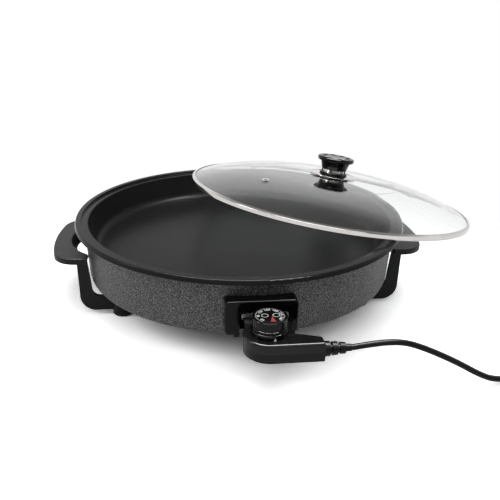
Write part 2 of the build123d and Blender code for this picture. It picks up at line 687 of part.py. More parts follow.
# Inlet shroud: a pressed steel flange on the skirt above the window, and a hood from it
# over the thermostat's nose, with a folded front lip and two short sides.
shroud_bottom = window_top + seat_gap
shroud_flange_top = opening_top - 2 * fit_gap
inlet_hood_depth = 14.0
inlet_hood_corner_radius = 2.0
with BuildPart() as inlet_shroud:
    with BuildSketch(Plane.XZ):
        with BuildLine():
            Polyline(
                (skirt_radius_at(shroud_bottom) + seat_gap, shroud_bottom),
                (skirt_radius_at(shroud_bottom) + seat_gap + inlet_hood_sheet, shroud_bottom),
                (skirt_radius_at(shroud_flange_top) + seat_gap + inlet_hood_sheet,
                 shroud_flange_top),
                (skirt_radius_at(shroud_flange_top) + seat_gap, shroud_flange_top),
                close=True,
            )
        make_face()
    revolve(axis=Axis.Z)
    with BuildSketch(Plane.XZ.offset(mouth_radius / 2)):
        with Locations((socket_x, (shroud_bottom + shroud_flange_top) / 2)):
            RectangleRounded(2 * opening_half_width - 4 * fit_gap,
                             shroud_flange_top - shroud_bottom, 1.0)
    extrude(amount=mouth_radius, mode=Mode.INTERSECT)
    with BuildSketch(Plane.XZ.offset(inlet_hood_front_y)) as hood_section:
        with Locations((socket_x, inlet_hood_side_bottom)):
            Rectangle(2 * inlet_hood_half_width, inlet_hood_top - inlet_hood_side_bottom,
                      align=(Align.CENTER, Align.MIN))
        fillet(hood_section.vertices().group_by(Axis.Y)[-1], inlet_hood_corner_radius)
        with Locations((socket_x, inlet_hood_side_bottom)):
            Rectangle(2 * (inlet_hood_half_width - inlet_hood_sheet),
                      inlet_hood_top - inlet_hood_sheet - inlet_hood_side_bottom,
                      align=(Align.CENTER, Align.MIN), mode=Mode.SUBTRACT)
    extrude(amount=-inlet_hood_depth)
    with BuildSketch(Plane.XZ.offset(inlet_hood_front_y)) as hood_lip:
        with Locations((socket_x, inlet_hood_top)):
            Rectangle(2 * inlet_hood_half_width, inlet_hood_lip,
                      align=(Align.CENTER, Align.MAX))
        fillet(hood_lip.vertices().group_by(Axis.Y)[-1], inlet_hood_corner_radius)
    extrude(amount=-inlet_hood_sheet)
    with BuildSketch(Plane.XZ):
        with BuildLine():
            Polyline(
                (0, skirt_foot_height),
                (skirt_radius_at(skirt_foot_height) + seat_gap, skirt_foot_height),
                (skirt_radius_at(guard_top) + seat_gap, guard_top),
                (0, guard_top),
                close=True,
            )
        make_face()
    revolve(axis=Axis.Z, mode=Mode.SUBTRACT)
inlet_shroud.part.label = "inlet_shroud"
export_step(inlet_shroud.part, "parts/inlet_shroud.step")

# Socket guard: a thin-walled moulding fitted to the curve of the skirt. Inside its fascia
# it steps back to a frame round the inlet, which is open at the bottom and hangs lower.
guard_boss_radius = 3.4
guard_hole_depth = 16.0
recess_middle_x = (recess_left_x + recess_right_x) / 2
recess_width = recess_right_x - recess_left_x
recess_floor_y = guard_front_y - recess_depth
with BuildPart() as socket_guard:
    with BuildSketch(Plane.XZ.offset(guard_back_y)):
        with Locations((guard_x, guard_bottom)):
            Rectangle(guard_width, guard_top - guard_bottom, align=(Align.CENTER, Align.MIN))
    extrude(amount=guard_front_y - guard_back_y)
    fillet(socket_guard.edges().filter_by(Axis.Y), guard_corner_radius)
    fillet(socket_guard.faces().sort_by(Axis.Y)[0].edges(), guard_edge_radius)
    for inner_x, inner_width, inner_top, reach_y in (
            (recess_middle_x, recess_width, recess_top, guard_front_y),
            (socket_x, 2 * opening_half_width, opening_top, recess_floor_y)):
        with BuildSketch(Plane.XZ.offset(guard_back_y)):
            with Locations((guard_x, (guard_top + guard_bottom) / 2)):
                RectangleRounded(guard_width - 2 * guard_wall,
                                 guard_top - guard_bottom - 2 * guard_wall,
                                 guard_corner_radius - guard_wall)
            with Locations((inner_x, inner_top + guard_wall)):
                Rectangle(inner_width + 2 * guard_wall, guard_top,
                          align=(Align.CENTER, Align.MAX), mode=Mode.SUBTRACT)
            for screw_x in guard_screw_x:
                for screw_height in guard_screw_heights:
                    with Locations((screw_x, screw_height)):
                        Circle(guard_boss_radius, mode=Mode.SUBTRACT)
        extrude(amount=reach_y - guard_back_y - guard_wall, mode=Mode.SUBTRACT)
    with BuildSketch(Plane.XZ.offset(guard_front_y)) as recess_opening:
        with Locations((recess_middle_x, recess_top)):
            Rectangle(recess_width, recess_top, align=(Align.CENTER, Align.MAX))
        fillet(recess_opening.vertices().group_by(Axis.Y)[-1], recess_corner_radius)
    extrude(amount=-recess_depth, mode=Mode.SUBTRACT)
    with BuildSketch(Plane.XZ.offset(guard_back_y)):
        with Locations((recess_middle_x, frame_bottom)):
            Rectangle(recess_width, guard_bottom + guard_wall - frame_bottom,
                      align=(Align.CENTER, Align.MIN))
    extrude(amount=recess_floor_y - guard_back_y)
    with BuildSketch(Plane.XZ.offset(guard_back_y)) as frame_opening:
        with Locations((socket_x, opening_top)):
            Rectangle(2 * opening_half_width, opening_top, align=(Align.CENTER, Align.MAX))
        fillet(frame_opening.vertices().group_by(Axis.Y)[-1], recess_corner_radius / 2)
    extrude(amount=guard_front_y, mode=Mode.SUBTRACT)
    with BuildSketch(Plane.XZ.offset(guard_back_y)):
        for screw_x in guard_screw_x:
            for screw_height in guard_screw_heights:
                with Locations((screw_x, screw_height)):
                    Circle(guard_screw_radius)
    extrude(amount=guard_hole_depth, mode=Mode.SUBTRACT)
    with BuildSketch(Plane.XZ):
        with BuildLine():
            Polyline(
                (0, skirt_foot_height),
                (skirt_radius_at(skirt_foot_height) + seat_gap, skirt_foot_height),
                (skirt_top_radius + seat_gap, skirt_top),
                (0, skirt_top),
                close=True,
            )
        make_face()
    revolve(axis=Axis.Z, mode=Mode.SUBTRACT)
socket_guard.part.label = "socket_guard"
export_step(socket_guard.part, "parts/socket_guard.step")

# Guard screws: driven outwards from inside the skirt.
guard_screw_head_radius = 2.6
guard_screw_head_height = 1.8
guard_screw_length = 12.0
with BuildPart() as guard_screws:
    for screw_x in guard_screw_x:
        for screw_height in guard_screw_heights:
            inner_radius = skirt_radius_at(screw_height - guard_screw_head_radius) - skirt_wall
            reach_x = abs(screw_x) + guard_screw_head_radius
            head_y = math.sqrt(inner_radius**2 - reach_x**2) - seat_gap
            with BuildSketch(Plane.XZ.offset(head_y)):
                with Locations((screw_x, screw_height)):
                    Circle(guard_screw_head_radius)
            extrude(amount=-guard_screw_head_height)
            with BuildSketch(Plane.XZ.offset(head_y - 1.0)):
                with Locations((screw_x, screw_height)):
                    Circle(guard_screw_radius - seat_gap)
            extrude(amount=guard_screw_length)
guard_screws.part.label = "guard_screws"
export_step(guard_screws.part, "parts/guard_screws.step")



# Plan of the housing: a round end under the dial and a straight tail to the cord.
with BuildSketch() as housing_plan:
    with Locations((socket_x, -dial_y)):
        Circle(end_radius)
    with BuildLine():
        Polyline(
            (socket_x, -dial_y - end_radius),
            (tail_x, -dial_y - end_radius),
            (tail_x, -tail_back_y - tail_corner_rise),
            (tail_x - tail_corner_run, -tail_back_y),
            (housing_shoulder_x, -housing_shoulder_y),
            (housing_shoulder_x, -housing_back_y),
            (socket_x, -housing_back_y),
            close=True,
        )
    make_face()
    with Locations((socket_x, -housing_back_y)):
        Rectangle(3 * end_radius, end_radius, align=(Align.CENTER, Align.MIN), mode=Mode.SUBTRACT)
with BuildSketch() as housing_room:
    add(housing_plan.sketch)
    offset(amount=-housing_wall, kind=Kind.INTERSECTION, mode=Mode.REPLACE)

nose_length = dial_y - nose_tip_y
block_half = 16.8
switch_back_y = guard_front_y - 3.9
switch_middle_y = guard_front_y + 9.0
switch_front_y = dial_y + 17.5
hub_radius = 7.0
housing_screw_spots = ((socket_x - 21.0, -dial_y - 1.5), (socket_x + 21.3, -dial_y + 8.5),
                       (tail_x - 15.0, -cord_y))
housing_boss_radius = 3.2
housing_screw_radius = 1.3
relief_neck_radius = 5.0
housing_top_edge_radius = 2.8
housing_bottom_edge_radius = 1.6
earth_slot_height = 4.0
housing_screw_grip = 7.5
housing_sink_depth = 2.6


# Holes in the nose's end wall for the pins, the probe and the earth blade.
with BuildSketch(Plane.XZ.offset(nose_tip_y - 1.0)) as nose_openings:
    with Locations(*[(pin_x, element_height) for pin_x in pin_spots]):
        Circle(pin_radius + slide_gap)
    with Locations((socket_x, element_height)):
        Circle(probe_radius + seat_gap)
    with Locations((socket_x, blade_height)):
        Rectangle(2 * blade_half_width + 2 * slide_gap, earth_slot_height)

# Upper housing: a shell open at the bottom, with the upper part of the nose.
with BuildPart() as thermostat_upper_housing:
    with BuildSketch(Plane.XY.offset(housing_parting + seat_gap / 2)):
        add(housing_plan.sketch)
    extrude(amount=housing_top - housing_parting - seat_gap / 2)
    fillet(thermostat_upper_housing.faces().sort_by(Axis.Z)[-1].edges(),
           housing_top_edge_radius)
    with BuildSketch(Plane.XY.offset(housing_parting + seat_gap / 2)):
        with Locations((socket_x, -nose_tip_y)):
            Rectangle(2 * nose_half_width, nose_length, align=(Align.CENTER, Align.MAX))
    extrude(amount=nose_top - housing_parting - seat_gap / 2)
    with BuildSketch(Plane.XY.offset(housing_parting)):
        add(housing_room.sketch)
        with Locations((socket_x, -nose_tip_y - housing_wall)):
            Rectangle(2 * (nose_half_width - housing_wall), nose_length,
                      align=(Align.CENTER, Align.MAX))
        with Locations(*housing_screw_spots):
            Circle(housing_boss_radius, mode=Mode.SUBTRACT)
    extrude(amount=nose_top - housing_wall - housing_parting, mode=Mode.SUBTRACT)
    with BuildSketch(Plane.XY.offset(housing_parting)):
        with Locations(*housing_screw_spots):
            Circle(housing_screw_radius)
    extrude(amount=housing_screw_grip, mode=Mode.SUBTRACT)
    with BuildSketch(Plane.XY.offset(housing_parting)):
        with Locations((socket_x, -dial_y)):
            Circle(spindle_radius + slide_gap)
    extrude(amount=housing_top, mode=Mode.SUBTRACT)
    with BuildSketch(Plane.YZ.offset(tail_x - 2 * housing_wall)):
        with Locations((-cord_y, cord_height)):
            Circle(relief_neck_radius + seat_gap)
    extrude(amount=4 * housing_wall, mode=Mode.SUBTRACT)
    extrude(nose_openings.sketch, amount=housing_wall + 1.0, mode=Mode.SUBTRACT)
thermostat_upper_housing.part.label = "thermostat_upper_housing"
export_step(thermostat_upper_housing.part, "parts/thermostat_upper_housing.step")

# Lower housing: the matching tray, with screw bosses countersunk from below.
with BuildPart() as thermostat_lower_housing:
    with BuildSketch(Plane.XY.offset(housing_bottom)):
        add(housing_plan.sketch)
    extrude(amount=housing_parting - housing_bottom - seat_gap / 2)
    fillet(thermostat_lower_housing.faces().sort_by(Axis.Z)[0].edges(),
           housing_bottom_edge_radius)
    with BuildSketch(Plane.XY.offset(nose_bottom)):
        with Locations((socket_x, -nose_tip_y)):
            Rectangle(2 * nose_half_width, nose_length, align=(Align.CENTER, Align.MAX))
    extrude(amount=housing_parting - nose_bottom - seat_gap / 2)
    with BuildSketch(Plane.XY.offset(housing_bottom + housing_wall)):
        add(housing_room.sketch)
        with Locations(*housing_screw_spots):
            Circle(housing_boss_radius, mode=Mode.SUBTRACT)
    extrude(amount=housing_parting - housing_bottom, mode=Mode.SUBTRACT)
    with BuildSketch(Plane.XY.offset(nose_bottom + housing_wall)):
        with Locations((socket_x, -nose_tip_y - housing_wall)):
            Rectangle(2 * (nose_half_width - housing_wall), switch_middle_y - nose_tip_y,
                      align=(Align.CENTER, Align.MAX))
    extrude(amount=housing_parting - nose_bottom, mode=Mode.SUBTRACT)
    with BuildSketch(Plane.XY.offset(housing_bottom)):
        with Locations(*housing_screw_spots):
            Circle(housing_screw_radius + fit_gap)
    extrude(amount=housing_parting, mode=Mode.SUBTRACT)
    with BuildSketch(Plane.XY.offset(housing_bottom)):
        with Locations(*housing_screw_spots):
            Circle(2 * housing_screw_radius + fit_gap)
    extrude(amount=housing_sink_depth, mode=Mode.SUBTRACT)
    with BuildSketch(Plane.YZ.offset(tail_x - 2 * housing_wall)):
        with Locations((-cord_y, cord_height)):
            Circle(relief_neck_radius + seat_gap)
    extrude(amount=4 * housing_wall, mode=Mode.SUBTRACT)
    extrude(nose_openings.sketch, amount=housing_wall + 1.0, mode=Mode.SUBTRACT)
thermostat_lower_housing.part.label = "thermostat_lower_housing"
export_step(thermostat_lower_housing.part, "parts/thermostat_lower_housing.step")

# Housing screws.
housing_screw_head_height = 1.9
housing_screw_length = 15.0
with BuildPart() as housing_screws:
    with BuildSketch(Plane.XY.offset(housing_bottom + 0.6)):
        with Locations(*housing_screw_spots):
            Circle(2 * housing_screw_radius)
    extrude(amount=housing_screw_head_height)
    with BuildSketch(Plane.XY.offset(housing_bottom + 2.0)):
        with Locations(*housing_screw_spots):
            Circle(housing_screw_radius - seat_gap)
    extrude(amount=housing_screw_length)
housing_screws.part.label = "housing_screws"
export_step(housing_screws.part, "parts/housing_screws.step")

# Dial collar: a stepped ring on the housing with a running groove below the dial.
collar_foot = housing_top + seat_gap
collar_top = dial_bottom - fit_gap
with BuildPart() as dial_collar:
    with BuildSketch(Plane.XZ.offset(dial_y)):
        with BuildLine():
            FilletPolyline(
                (socket_x, collar_foot),
                (socket_x + collar_radius, collar_foot),
                (socket_x + collar_radius, collar_foot + 5.6),
                (socket_x + collar_radius - 1.8, collar_foot + 6.4),
                (socket_x + collar_radius - 1.8, collar_foot + 7.4),
                (socket_x + collar_radius - 0.8, collar_foot + 7.6),
                (socket_x + collar_radius - 0.8, collar_foot + 8.8),
                (socket_x + collar_radius - 2.6, collar_top),
                (socket_x, collar_top),
                radius=[0.4, 0.5, 0.2, 0.2, 0.3, 0.4, 0.3],
            )
            Line((socket_x, collar_top), (socket_x, collar_foot))
        make_face()
    revolve(axis=Axis((socket_x, -dial_y, 0), (0, 0, 1)))
    with BuildSketch(Plane.XY.offset(collar_foot)):
        with Locations((socket_x, -dial_y)):
            Circle(spindle_radius + bore_fit)
    extrude(amount=housing_top, mode=Mode.SUBTRACT)
dial_collar.part.label = "dial_collar"
export_step(dial_collar.part, "parts/dial_collar.step")

# Switch block: the thermostat's body under the dial, with a hub that takes the spindle and
# a notch on each side for the wires.
switch_height = 14.0
switch_neck_height = 13.6
wire_notch_y = switch_front_y - 12.0
with BuildPart() as switch_block:
    with BuildSketch(Plane.XY.offset(housing_bottom + housing_wall + seat_gap)):
        with Locations((socket_x, -switch_middle_y)):
            Rectangle(2 * block_half, switch_front_y - switch_middle_y,
                      align=(Align.CENTER, Align.MAX))
        with Locations((socket_x - block_half, -wire_notch_y),
                       (socket_x + block_half, -wire_notch_y)):
            Rectangle(8.0, 6.0, mode=Mode.SUBTRACT)
    extrude(amount=switch_height)
    with BuildSketch(Plane.XY.offset(nose_bottom + housing_wall + seat_gap)):
        with Locations((socket_x, -switch_back_y)):
            Rectangle(2 * block_half, dial_y - switch_back_y - hub_radius,
                      align=(Align.CENTER, Align.MAX))
    extrude(amount=switch_neck_height)
    with BuildSketch(Plane.XY.offset(housing_parting)):
        with Locations((socket_x, -dial_y)):
            Circle(hub_radius)
    extrude(amount=nose_top - housing_wall - housing_parting - seat_gap)
    with BuildSketch(Plane.XY.offset(housing_parting)):
        with Locations((socket_x, -dial_y)):
            Circle(spindle_radius + bore_fit)
    extrude(amount=housing_top, mode=Mode.SUBTRACT)
switch_block.part.label = "switch_block"
export_step(switch_block.part, "parts/switch_block.step")

# Probe: a closed tube with a round tip, from the switch block through the nose.
with BuildPart() as probe_rod:
    with BuildSketch(Plane.XZ.offset(probe_tip_y)):
        with Locations((socket_x, element_height)):
            Circle(probe_radius)
    extrude(amount=switch_back_y - probe_tip_y - seat_gap)
    fillet(probe_rod.faces().sort_by(Axis.Y)[-1].edges(), probe_radius - 0.2)
probe_rod.part.label = "probe_rod"
export_step(probe_rod.part, "parts/probe_rod.step")

# Contact sleeves: split sockets that grip the power pins.
sleeve_radius = 3.6
sleeve_slit = 0.8
with BuildPart() as contact_sleeves:
    for pin_x in pin_spots:
        with BuildSketch(Plane.XZ.offset(nose_tip_y + housing_wall + seat_gap)):
            with Locations((pin_x, element_height)):
                Circle(sleeve_radius)
                Circle(pin_radius + bore_fit, mode=Mode.SUBTRACT)
                Rectangle(sleeve_slit, 2 * sleeve_radius, align=(Align.CENTER, Align.MIN),
                          mode=Mode.SUBTRACT)
        extrude(amount=switch_back_y - nose_tip_y - housing_wall - 2 * seat_gap)
contact_sleeves.part.label = "contact_sleeves"
export_step(contact_sleeves.part, "parts/contact_sleeves.step")

# Earth contact: a strip folded to a clip round the earth blade.
clip_inner = blade_thickness / 2 + bore_fit
clip_outer = clip_inner + 0.6
clip_back_y = switch_back_y - seat_gap
with BuildPart() as earth_contact:
    with BuildSketch(Plane.YZ.offset(socket_x - blade_half_width + 0.5)):
        with BuildLine():
            Polyline(
                (-nose_tip_y - housing_wall - seat_gap, blade_height + clip_outer),
                (-nose_tip_y - housing_wall - seat_gap, blade_height + clip_inner),
                (-clip_back_y + 0.8, blade_height + clip_inner),
                (-clip_back_y + 0.8, blade_height - clip_inner),
                (-nose_tip_y - housing_wall - seat_gap, blade_height - clip_inner),
                (-nose_tip_y - housing_wall - seat_gap, blade_height - clip_outer),
                (-clip_back_y, blade_height - clip_outer),
                (-clip_back_y, blade_height + clip_outer),
                close=True,
            )
        make_face()
    extrude(amount=2 * blade_half_width - 1.0)
earth_contact.part.label = "earth_contact"
export_step(earth_contact.part, "parts/earth_contact.step")

# Strain relief: a flanged neck held between the housings, then ribs that shrink to the cord.
relief_start_x = tail_x + seat_gap
relief_pitch = 8.2
relief_rib_width = 5.6
relief_core_radius = 4.7
relief_rib_radius = 8.2
relief_rib_step = 0.95
with BuildPart() as strain_relief:
    with BuildSketch(Plane.YZ.offset(tail_x - housing_wall - 2.6)):
        with Locations((-cord_y, cord_height)):
            Circle(relief_neck_radius + 0.4)
    extrude(amount=2.0)
    with BuildSketch(Plane.YZ.offset(tail_x - housing_wall - 1.0)):
        with Locations((-cord_y, cord_height)):
            Circle(relief_neck_radius)
    extrude(amount=housing_wall + 2.0)
    with BuildSketch(Plane.YZ.offset(relief_start_x)):
        with Locations((-cord_y, cord_height)):
            Circle(relief_core_radius)
    extrude(amount=relief_length - seat_gap, taper=1.6)
    for rib in range(relief_rib_count):
        rib_radius = relief_rib_radius - relief_rib_step * rib
        with BuildSketch(Plane.YZ.offset(relief_start_x + rib * relief_pitch)):
            with Locations((-cord_y, cord_height)):
                Circle(rib_radius)
        extrude(amount=relief_rib_width, taper=4.0)
strain_relief.part.label = "strain_relief"
export_step(strain_relief.part, "parts/strain_relief.step")



# Cord: it leaves the strain relief level, rises a little, falls to the table and runs
# along it to the coil. Each corner of the route is a tangent arc.
cord_start_x = tail_x + relief_length + 5 * seat_gap
cord_radius = cord_diameter / 2
coil_stub_length = 30.0
coil_entry_x = coil_x - coil_stub_length
stub_inset = 0.3
coil_back_y = coil_y - coil_turn_radius + stub_inset
table_height = coil_lift + cord_radius + stub_inset
cord_route = (
    (cord_start_x, -cord_y, cord_height),
    (107.0, -cord_y, 63.6),
    (130.0, -cord_y, 65.2),
    (148.0, -cord_y, 62.8),
    (167.0, -cord_y + 0.1, 55.2),
    (191.0, -cord_y + 0.3, 43.4),
    (211.0, -cord_y + 0.5, 32.2),
    (231.0, -cord_y + 1.5, 19.6),
    (251.0, -cord_y + 4.9, 8.6),
    (272.0, -cord_y + 8.5, table_height),
    (coil_entry_x - seat_gap, -coil_back_y, table_height),
)
cord_arc_radii = []
for before, corner, after in zip(cord_route, cord_route[1:], cord_route[2:]):
    run_in = Vector(*corner) - Vector(*before)
    run_out = Vector(*after) - Vector(*corner)
    half_turn = math.radians(run_in.get_angle(run_out)) / 2
    cord_arc_radii.append(0.45 * min(run_in.length, run_out.length) / math.tan(half_turn))
with BuildPart() as cord_lead:
    with BuildLine() as cord_path:
        FilletPolyline(*cord_route, radius=cord_arc_radii)
    with BuildSketch(Plane(origin=cord_path.wires()[0] @ 0, z_dir=cord_path.wires()[0] % 0)):
        Circle(cord_radius)
    sweep(path=cord_path.wires()[0])
cord_lead.part.label = "cord_lead"
export_step(cord_lead.part, "parts/cord_lead.step")
cord_path_length = cord_path.wires()[0].length
print("cord arc radii", [round(radius) for radius in cord_arc_radii])
print("cord length", round(cord_path_length), "volume over section times length",
      round(cord_lead.part.volume / (math.pi * cord_radius**2 * cord_path_length), 4))

# Coil: the outer shape of five turns, with the straight stretch that enters at the bottom
# and the one that leaves at the top.
coil_inner_radius = coil_turn_radius + cord_radius - coil_columns * cord_diameter
coil_top = coil_lift + coil_layers * cord_diameter
exit_height = coil_top - cord_radius - stub_inset
exit_x = coil_x + 26.0
with BuildPart() as cord_coil:
    with BuildSketch(Plane.XZ.offset(coil_y)) as coil_section:
        with Locations((coil_x + coil_inner_radius, coil_lift)):
            Rectangle(coil_columns * cord_diameter, coil_layers * cord_diameter,
                      align=(Align.MIN, Align.MIN))
        fillet(coil_section.vertices(), cord_radius - 1.0)
    revolve(axis=Axis((coil_x, -coil_y, 0), (0, 0, 1)))
    with BuildSketch(Plane.YZ.offset(coil_entry_x)):
        with Locations((-coil_back_y, table_height)):
            Circle(cord_radius)
    extrude(amount=coil_x - coil_entry_x)
    with BuildSketch(Plane.YZ.offset(coil_x)):
        with Locations((-coil_back_y, exit_height)):
            Circle(cord_radius)
    extrude(amount=exit_x - coil_x)
cord_coil.part.label = "cord_coil"
export_step(cord_coil.part, "parts/cord_coil.step")

# Cord tie: a strap round the coil at its front.
tie_sheet = 0.9
tie_half_width = 3.5
with BuildPart() as cord_tie:
    with BuildSketch(Plane.YZ.offset(coil_x - tie_half_width)):
        with Locations((-coil_y - coil_turn_radius + cord_radius, (coil_lift + coil_top) / 2)):
            RectangleRounded(coil_columns * cord_diameter + 2 * tie_sheet + 2 * fit_gap,
                             coil_layers * cord_diameter + 2 * tie_sheet + 2 * seat_gap, 3.1)
            RectangleRounded(coil_columns * cord_diameter + 2 * fit_gap,
                             coil_layers * cord_diameter + 2 * seat_gap, 2.2,
                             mode=Mode.SUBTRACT)
    extrude(amount=2 * tie_half_width)
cord_tie.part.label = "cord_tie"
export_step(cord_tie.part, "parts/cord_tie.step")

# Mains plug: a round earthed plug lying on its side, with two side grooves for the earth.
plug_start_x = exit_x + seat_gap
plug_neck_length = 20.0
plug_body_length = 36.0
plug_body_x = plug_start_x + plug_neck_length
plug_face_x = plug_body_x + plug_body_length
with BuildPart() as mains_plug:
    with BuildSketch(Plane.XZ.offset(coil_back_y)):
        with BuildLine():
            FilletPolyline(
                (plug_start_x, exit_height),
                (plug_start_x, exit_height + 4.4),
                (plug_body_x, exit_height + 6.0),
                (plug_body_x + 4.0, exit_height + 10.5),
                (plug_body_x + 20.0, exit_height + 14.5),
                (plug_body_x + 22.0, exit_height + plug_radius),
                (plug_face_x, exit_height + plug_radius),
                (plug_face_x, exit_height),
                radius=[0.8, 2.0, 3.0, 2.0, 1.0, 0.8],
            )
            Line((plug_face_x, exit_height), (plug_start_x, exit_height))
        make_face()
    revolve(axis=Axis((plug_start_x, -coil_back_y, exit_height), (1, 0, 0)))
    with BuildSketch(Plane.YZ.offset(plug_body_x + 22.0)):
        with Locations((-coil_back_y, exit_height)):
            with GridLocations(2 * plug_radius, 1, 2, 1):
                Rectangle(5.0, 7.0)
    extrude(amount=plug_face_x, mode=Mode.SUBTRACT)
mains_plug.part.label = "mains_plug"
export_step(mains_plug.part, "parts/mains_plug.step")

# Plug pins: two round pins.
plug_pin_spacing = 19.0
plug_pin_length = 19.0
plug_pin_radius = 2.4
with BuildPart() as plug_pins:
    with BuildSketch(Plane.YZ.offset(plug_face_x + seat_gap)):
        with Locations((-coil_back_y, exit_height)):
            with GridLocations(1, plug_pin_spacing, 1, 2):
                Circle(plug_pin_radius)
    extrude(amount=plug_pin_length)
    fillet(plug_pins.faces().group_by(Axis.X)[-1].edges(), 1.6)
plug_pins.part.label = "plug_pins"
export_step(plug_pins.part, "parts/plug_pins.step")



face_radius = 15.8
face_recess = 1.0
flute_radius = 0.9
cap_depth = 5.6
cap_wall = 2.4

# Dial knob: a fluted cap, hollow underneath, with a hub on the spindle.
with BuildPart() as dial_knob:
    with BuildSketch(Plane.XY.offset(dial_bottom)):
        with Locations((socket_x, -dial_y)):
            Circle(dial_radius)
    extrude(amount=dial_top - dial_bottom)
    chamfer(dial_knob.faces().sort_by(Axis.Z)[-1].edges(), 0.7)
    with BuildSketch(Plane.XY.offset(dial_bottom)):
        with Locations((socket_x, -dial_y)):
            with PolarLocations(dial_radius + 0.4, dial_flute_count):
                Circle(flute_radius)
    extrude(amount=dial_top - dial_bottom - 1.6, mode=Mode.SUBTRACT)
    with BuildSketch(Plane.XY.offset(dial_top)):
        with Locations((socket_x, -dial_y)):
            Circle(face_radius)
    extrude(amount=-face_recess, mode=Mode.SUBTRACT)
    with BuildSketch(Plane.XY.offset(dial_bottom)):
        with Locations((socket_x, -dial_y)):
            Circle(dial_radius - cap_wall)
            Circle(2 * spindle_radius, mode=Mode.SUBTRACT)
    extrude(amount=cap_depth, mode=Mode.SUBTRACT)
    with BuildSketch(Plane.XY.offset(dial_bottom)):
        with Locations((socket_x, -dial_y)):
            Circle(spindle_radius + bore_fit)
    extrude(amount=cap_depth, mode=Mode.SUBTRACT)
dial_knob.part.label = "dial_knob"
export_step(dial_knob.part, "parts/dial_knob.step")

# Dial face: the printed disc that lies in the cap's recess.
with BuildPart() as dial_face:
    with BuildSketch(Plane.XY.offset(dial_top - face_recess + seat_gap)):
        with Locations((socket_x, -dial_y)):
            Circle(face_radius - seat_gap)
    extrude(amount=face_recess - 2 * seat_gap)
dial_face.part.label = "dial_face"
export_step(dial_face.part, "parts/dial_face.step")

# Dial spindle: from the switch block's hub up into the cap.
spindle_bottom = housing_parting + 1.0
with BuildPart() as dial_spindle:
    with BuildSketch(Plane.XY.offset(spindle_bottom)):
        with Locations((socket_x, -dial_y)):
            Circle(spindle_radius)
    extrude(amount=dial_bottom + cap_depth - 2 * seat_gap - spindle_bottom)
dial_spindle.part.label = "dial_spindle"
export_step(dial_spindle.part, "parts/dial_spindle.step")



# The lid's own frame: its axis leans the way it falls. Heights are measured along that axis
# from the plane of the band's top edge.
lid_up = Vector(0, 0, 1).rotate(Axis.Y, lid_tilt).rotate(Axis.Z, lid_fall)
lid_across = Vector(0, 1, 0).cross(lid_up).normalized()
lid_plane = Plane(lid_place, x_dir=lid_across, z_dir=lid_up)
lid_section = Plane(lid_place, x_dir=lid_across, z_dir=lid_across.cross(lid_up))
lid_axis = Axis(lid_place, lid_up)

# Glass: a nearly flat crown that runs into a steeper shoulder. Both are arcs.
crown_fall = crown_height - crown_edge_height
crown_curve = (crown_edge_radius**2 + crown_fall**2) / (2 * crown_fall)
crown_edge = Vector(crown_edge_radius, crown_edge_height)
crown_normal = Vector(crown_edge_radius, crown_curve - crown_fall) / crown_curve
shoulder_chord = Vector(glass_radius, glass_edge_height) - crown_edge
shoulder_curve = shoulder_chord.length**2 / (-2 * shoulder_chord.dot(crown_normal))
shoulder_centre = crown_edge - crown_normal * shoulder_curve
shoulder_start = math.atan2(crown_normal.X, crown_normal.Y)
shoulder_end = math.atan2(glass_radius - shoulder_centre.X, glass_edge_height - shoulder_centre.Y)
shoulder_shares = [step / 6 for step in range(7)]


# Point of the shoulder's section at a share of its arc and a depth below the outer surface.
def shoulder_point(share, depth):
    lean = shoulder_start + share * (shoulder_end - shoulder_start)
    reach = shoulder_curve - depth
    return (shoulder_centre.X + reach * math.sin(lean), shoulder_centre.Y + reach * math.cos(lean))


# Height of the glass's outer surface on the shoulder.
def glass_height_at(radius):
    return shoulder_centre.Y + math.sqrt(shoulder_curve**2 - (radius - shoulder_centre.X) ** 2)


# The glass and its vent are made in the lid's frame and then moved to their place.
vent_lean = math.degrees(math.asin((vent_radius - shoulder_centre.X) / shoulder_curve))
vent_out = Vector(1, 0, 0).rotate(Axis.Z, vent_angle)
vent_across = Vector(0, 0, 1).cross(vent_out)
vent_plane = Plane(vent_out * vent_radius + Vector(0, 0, glass_height_at(vent_radius)),
                   x_dir=vent_across,
                   z_dir=Vector(0, 0, 1).rotate(Axis((0, 0, 0), vent_across), vent_lean))
vent_hole_radius = 3.4
with BuildPart() as glass_shape:
    with BuildSketch(Plane.XZ):
        with BuildLine():
            RadiusArc((0, crown_height), (crown_edge_radius, crown_edge_height), crown_curve)
            Spline(*[shoulder_point(share, 0) for share in shoulder_shares])
            Line(shoulder_point(1, 0), shoulder_point(1, glass_thickness))
            Spline(*[shoulder_point(1 - share, glass_thickness) for share in shoulder_shares])
            RadiusArc(shoulder_point(0, glass_thickness), (0, crown_height - glass_thickness),
                      glass_thickness - crown_curve)
            Line((0, crown_height - glass_thickness), (0, crown_height))
        make_face()
    revolve(axis=Axis.Z)
    with BuildSketch():
        Circle(knob_screw_radius + fit_gap)
    extrude(amount=2 * crown_height, mode=Mode.SUBTRACT)
    with BuildSketch(vent_plane.offset(-2 * glass_thickness)):
        Circle(vent_hole_radius)
    extrude(amount=4 * glass_thickness, mode=Mode.SUBTRACT)
with BuildPart() as lid_glass:
    with Locations(lid_plane):
        add(glass_shape.part)
lid_glass.part.label = "lid_glass"
export_step(lid_glass.part, "parts/lid_glass.step")

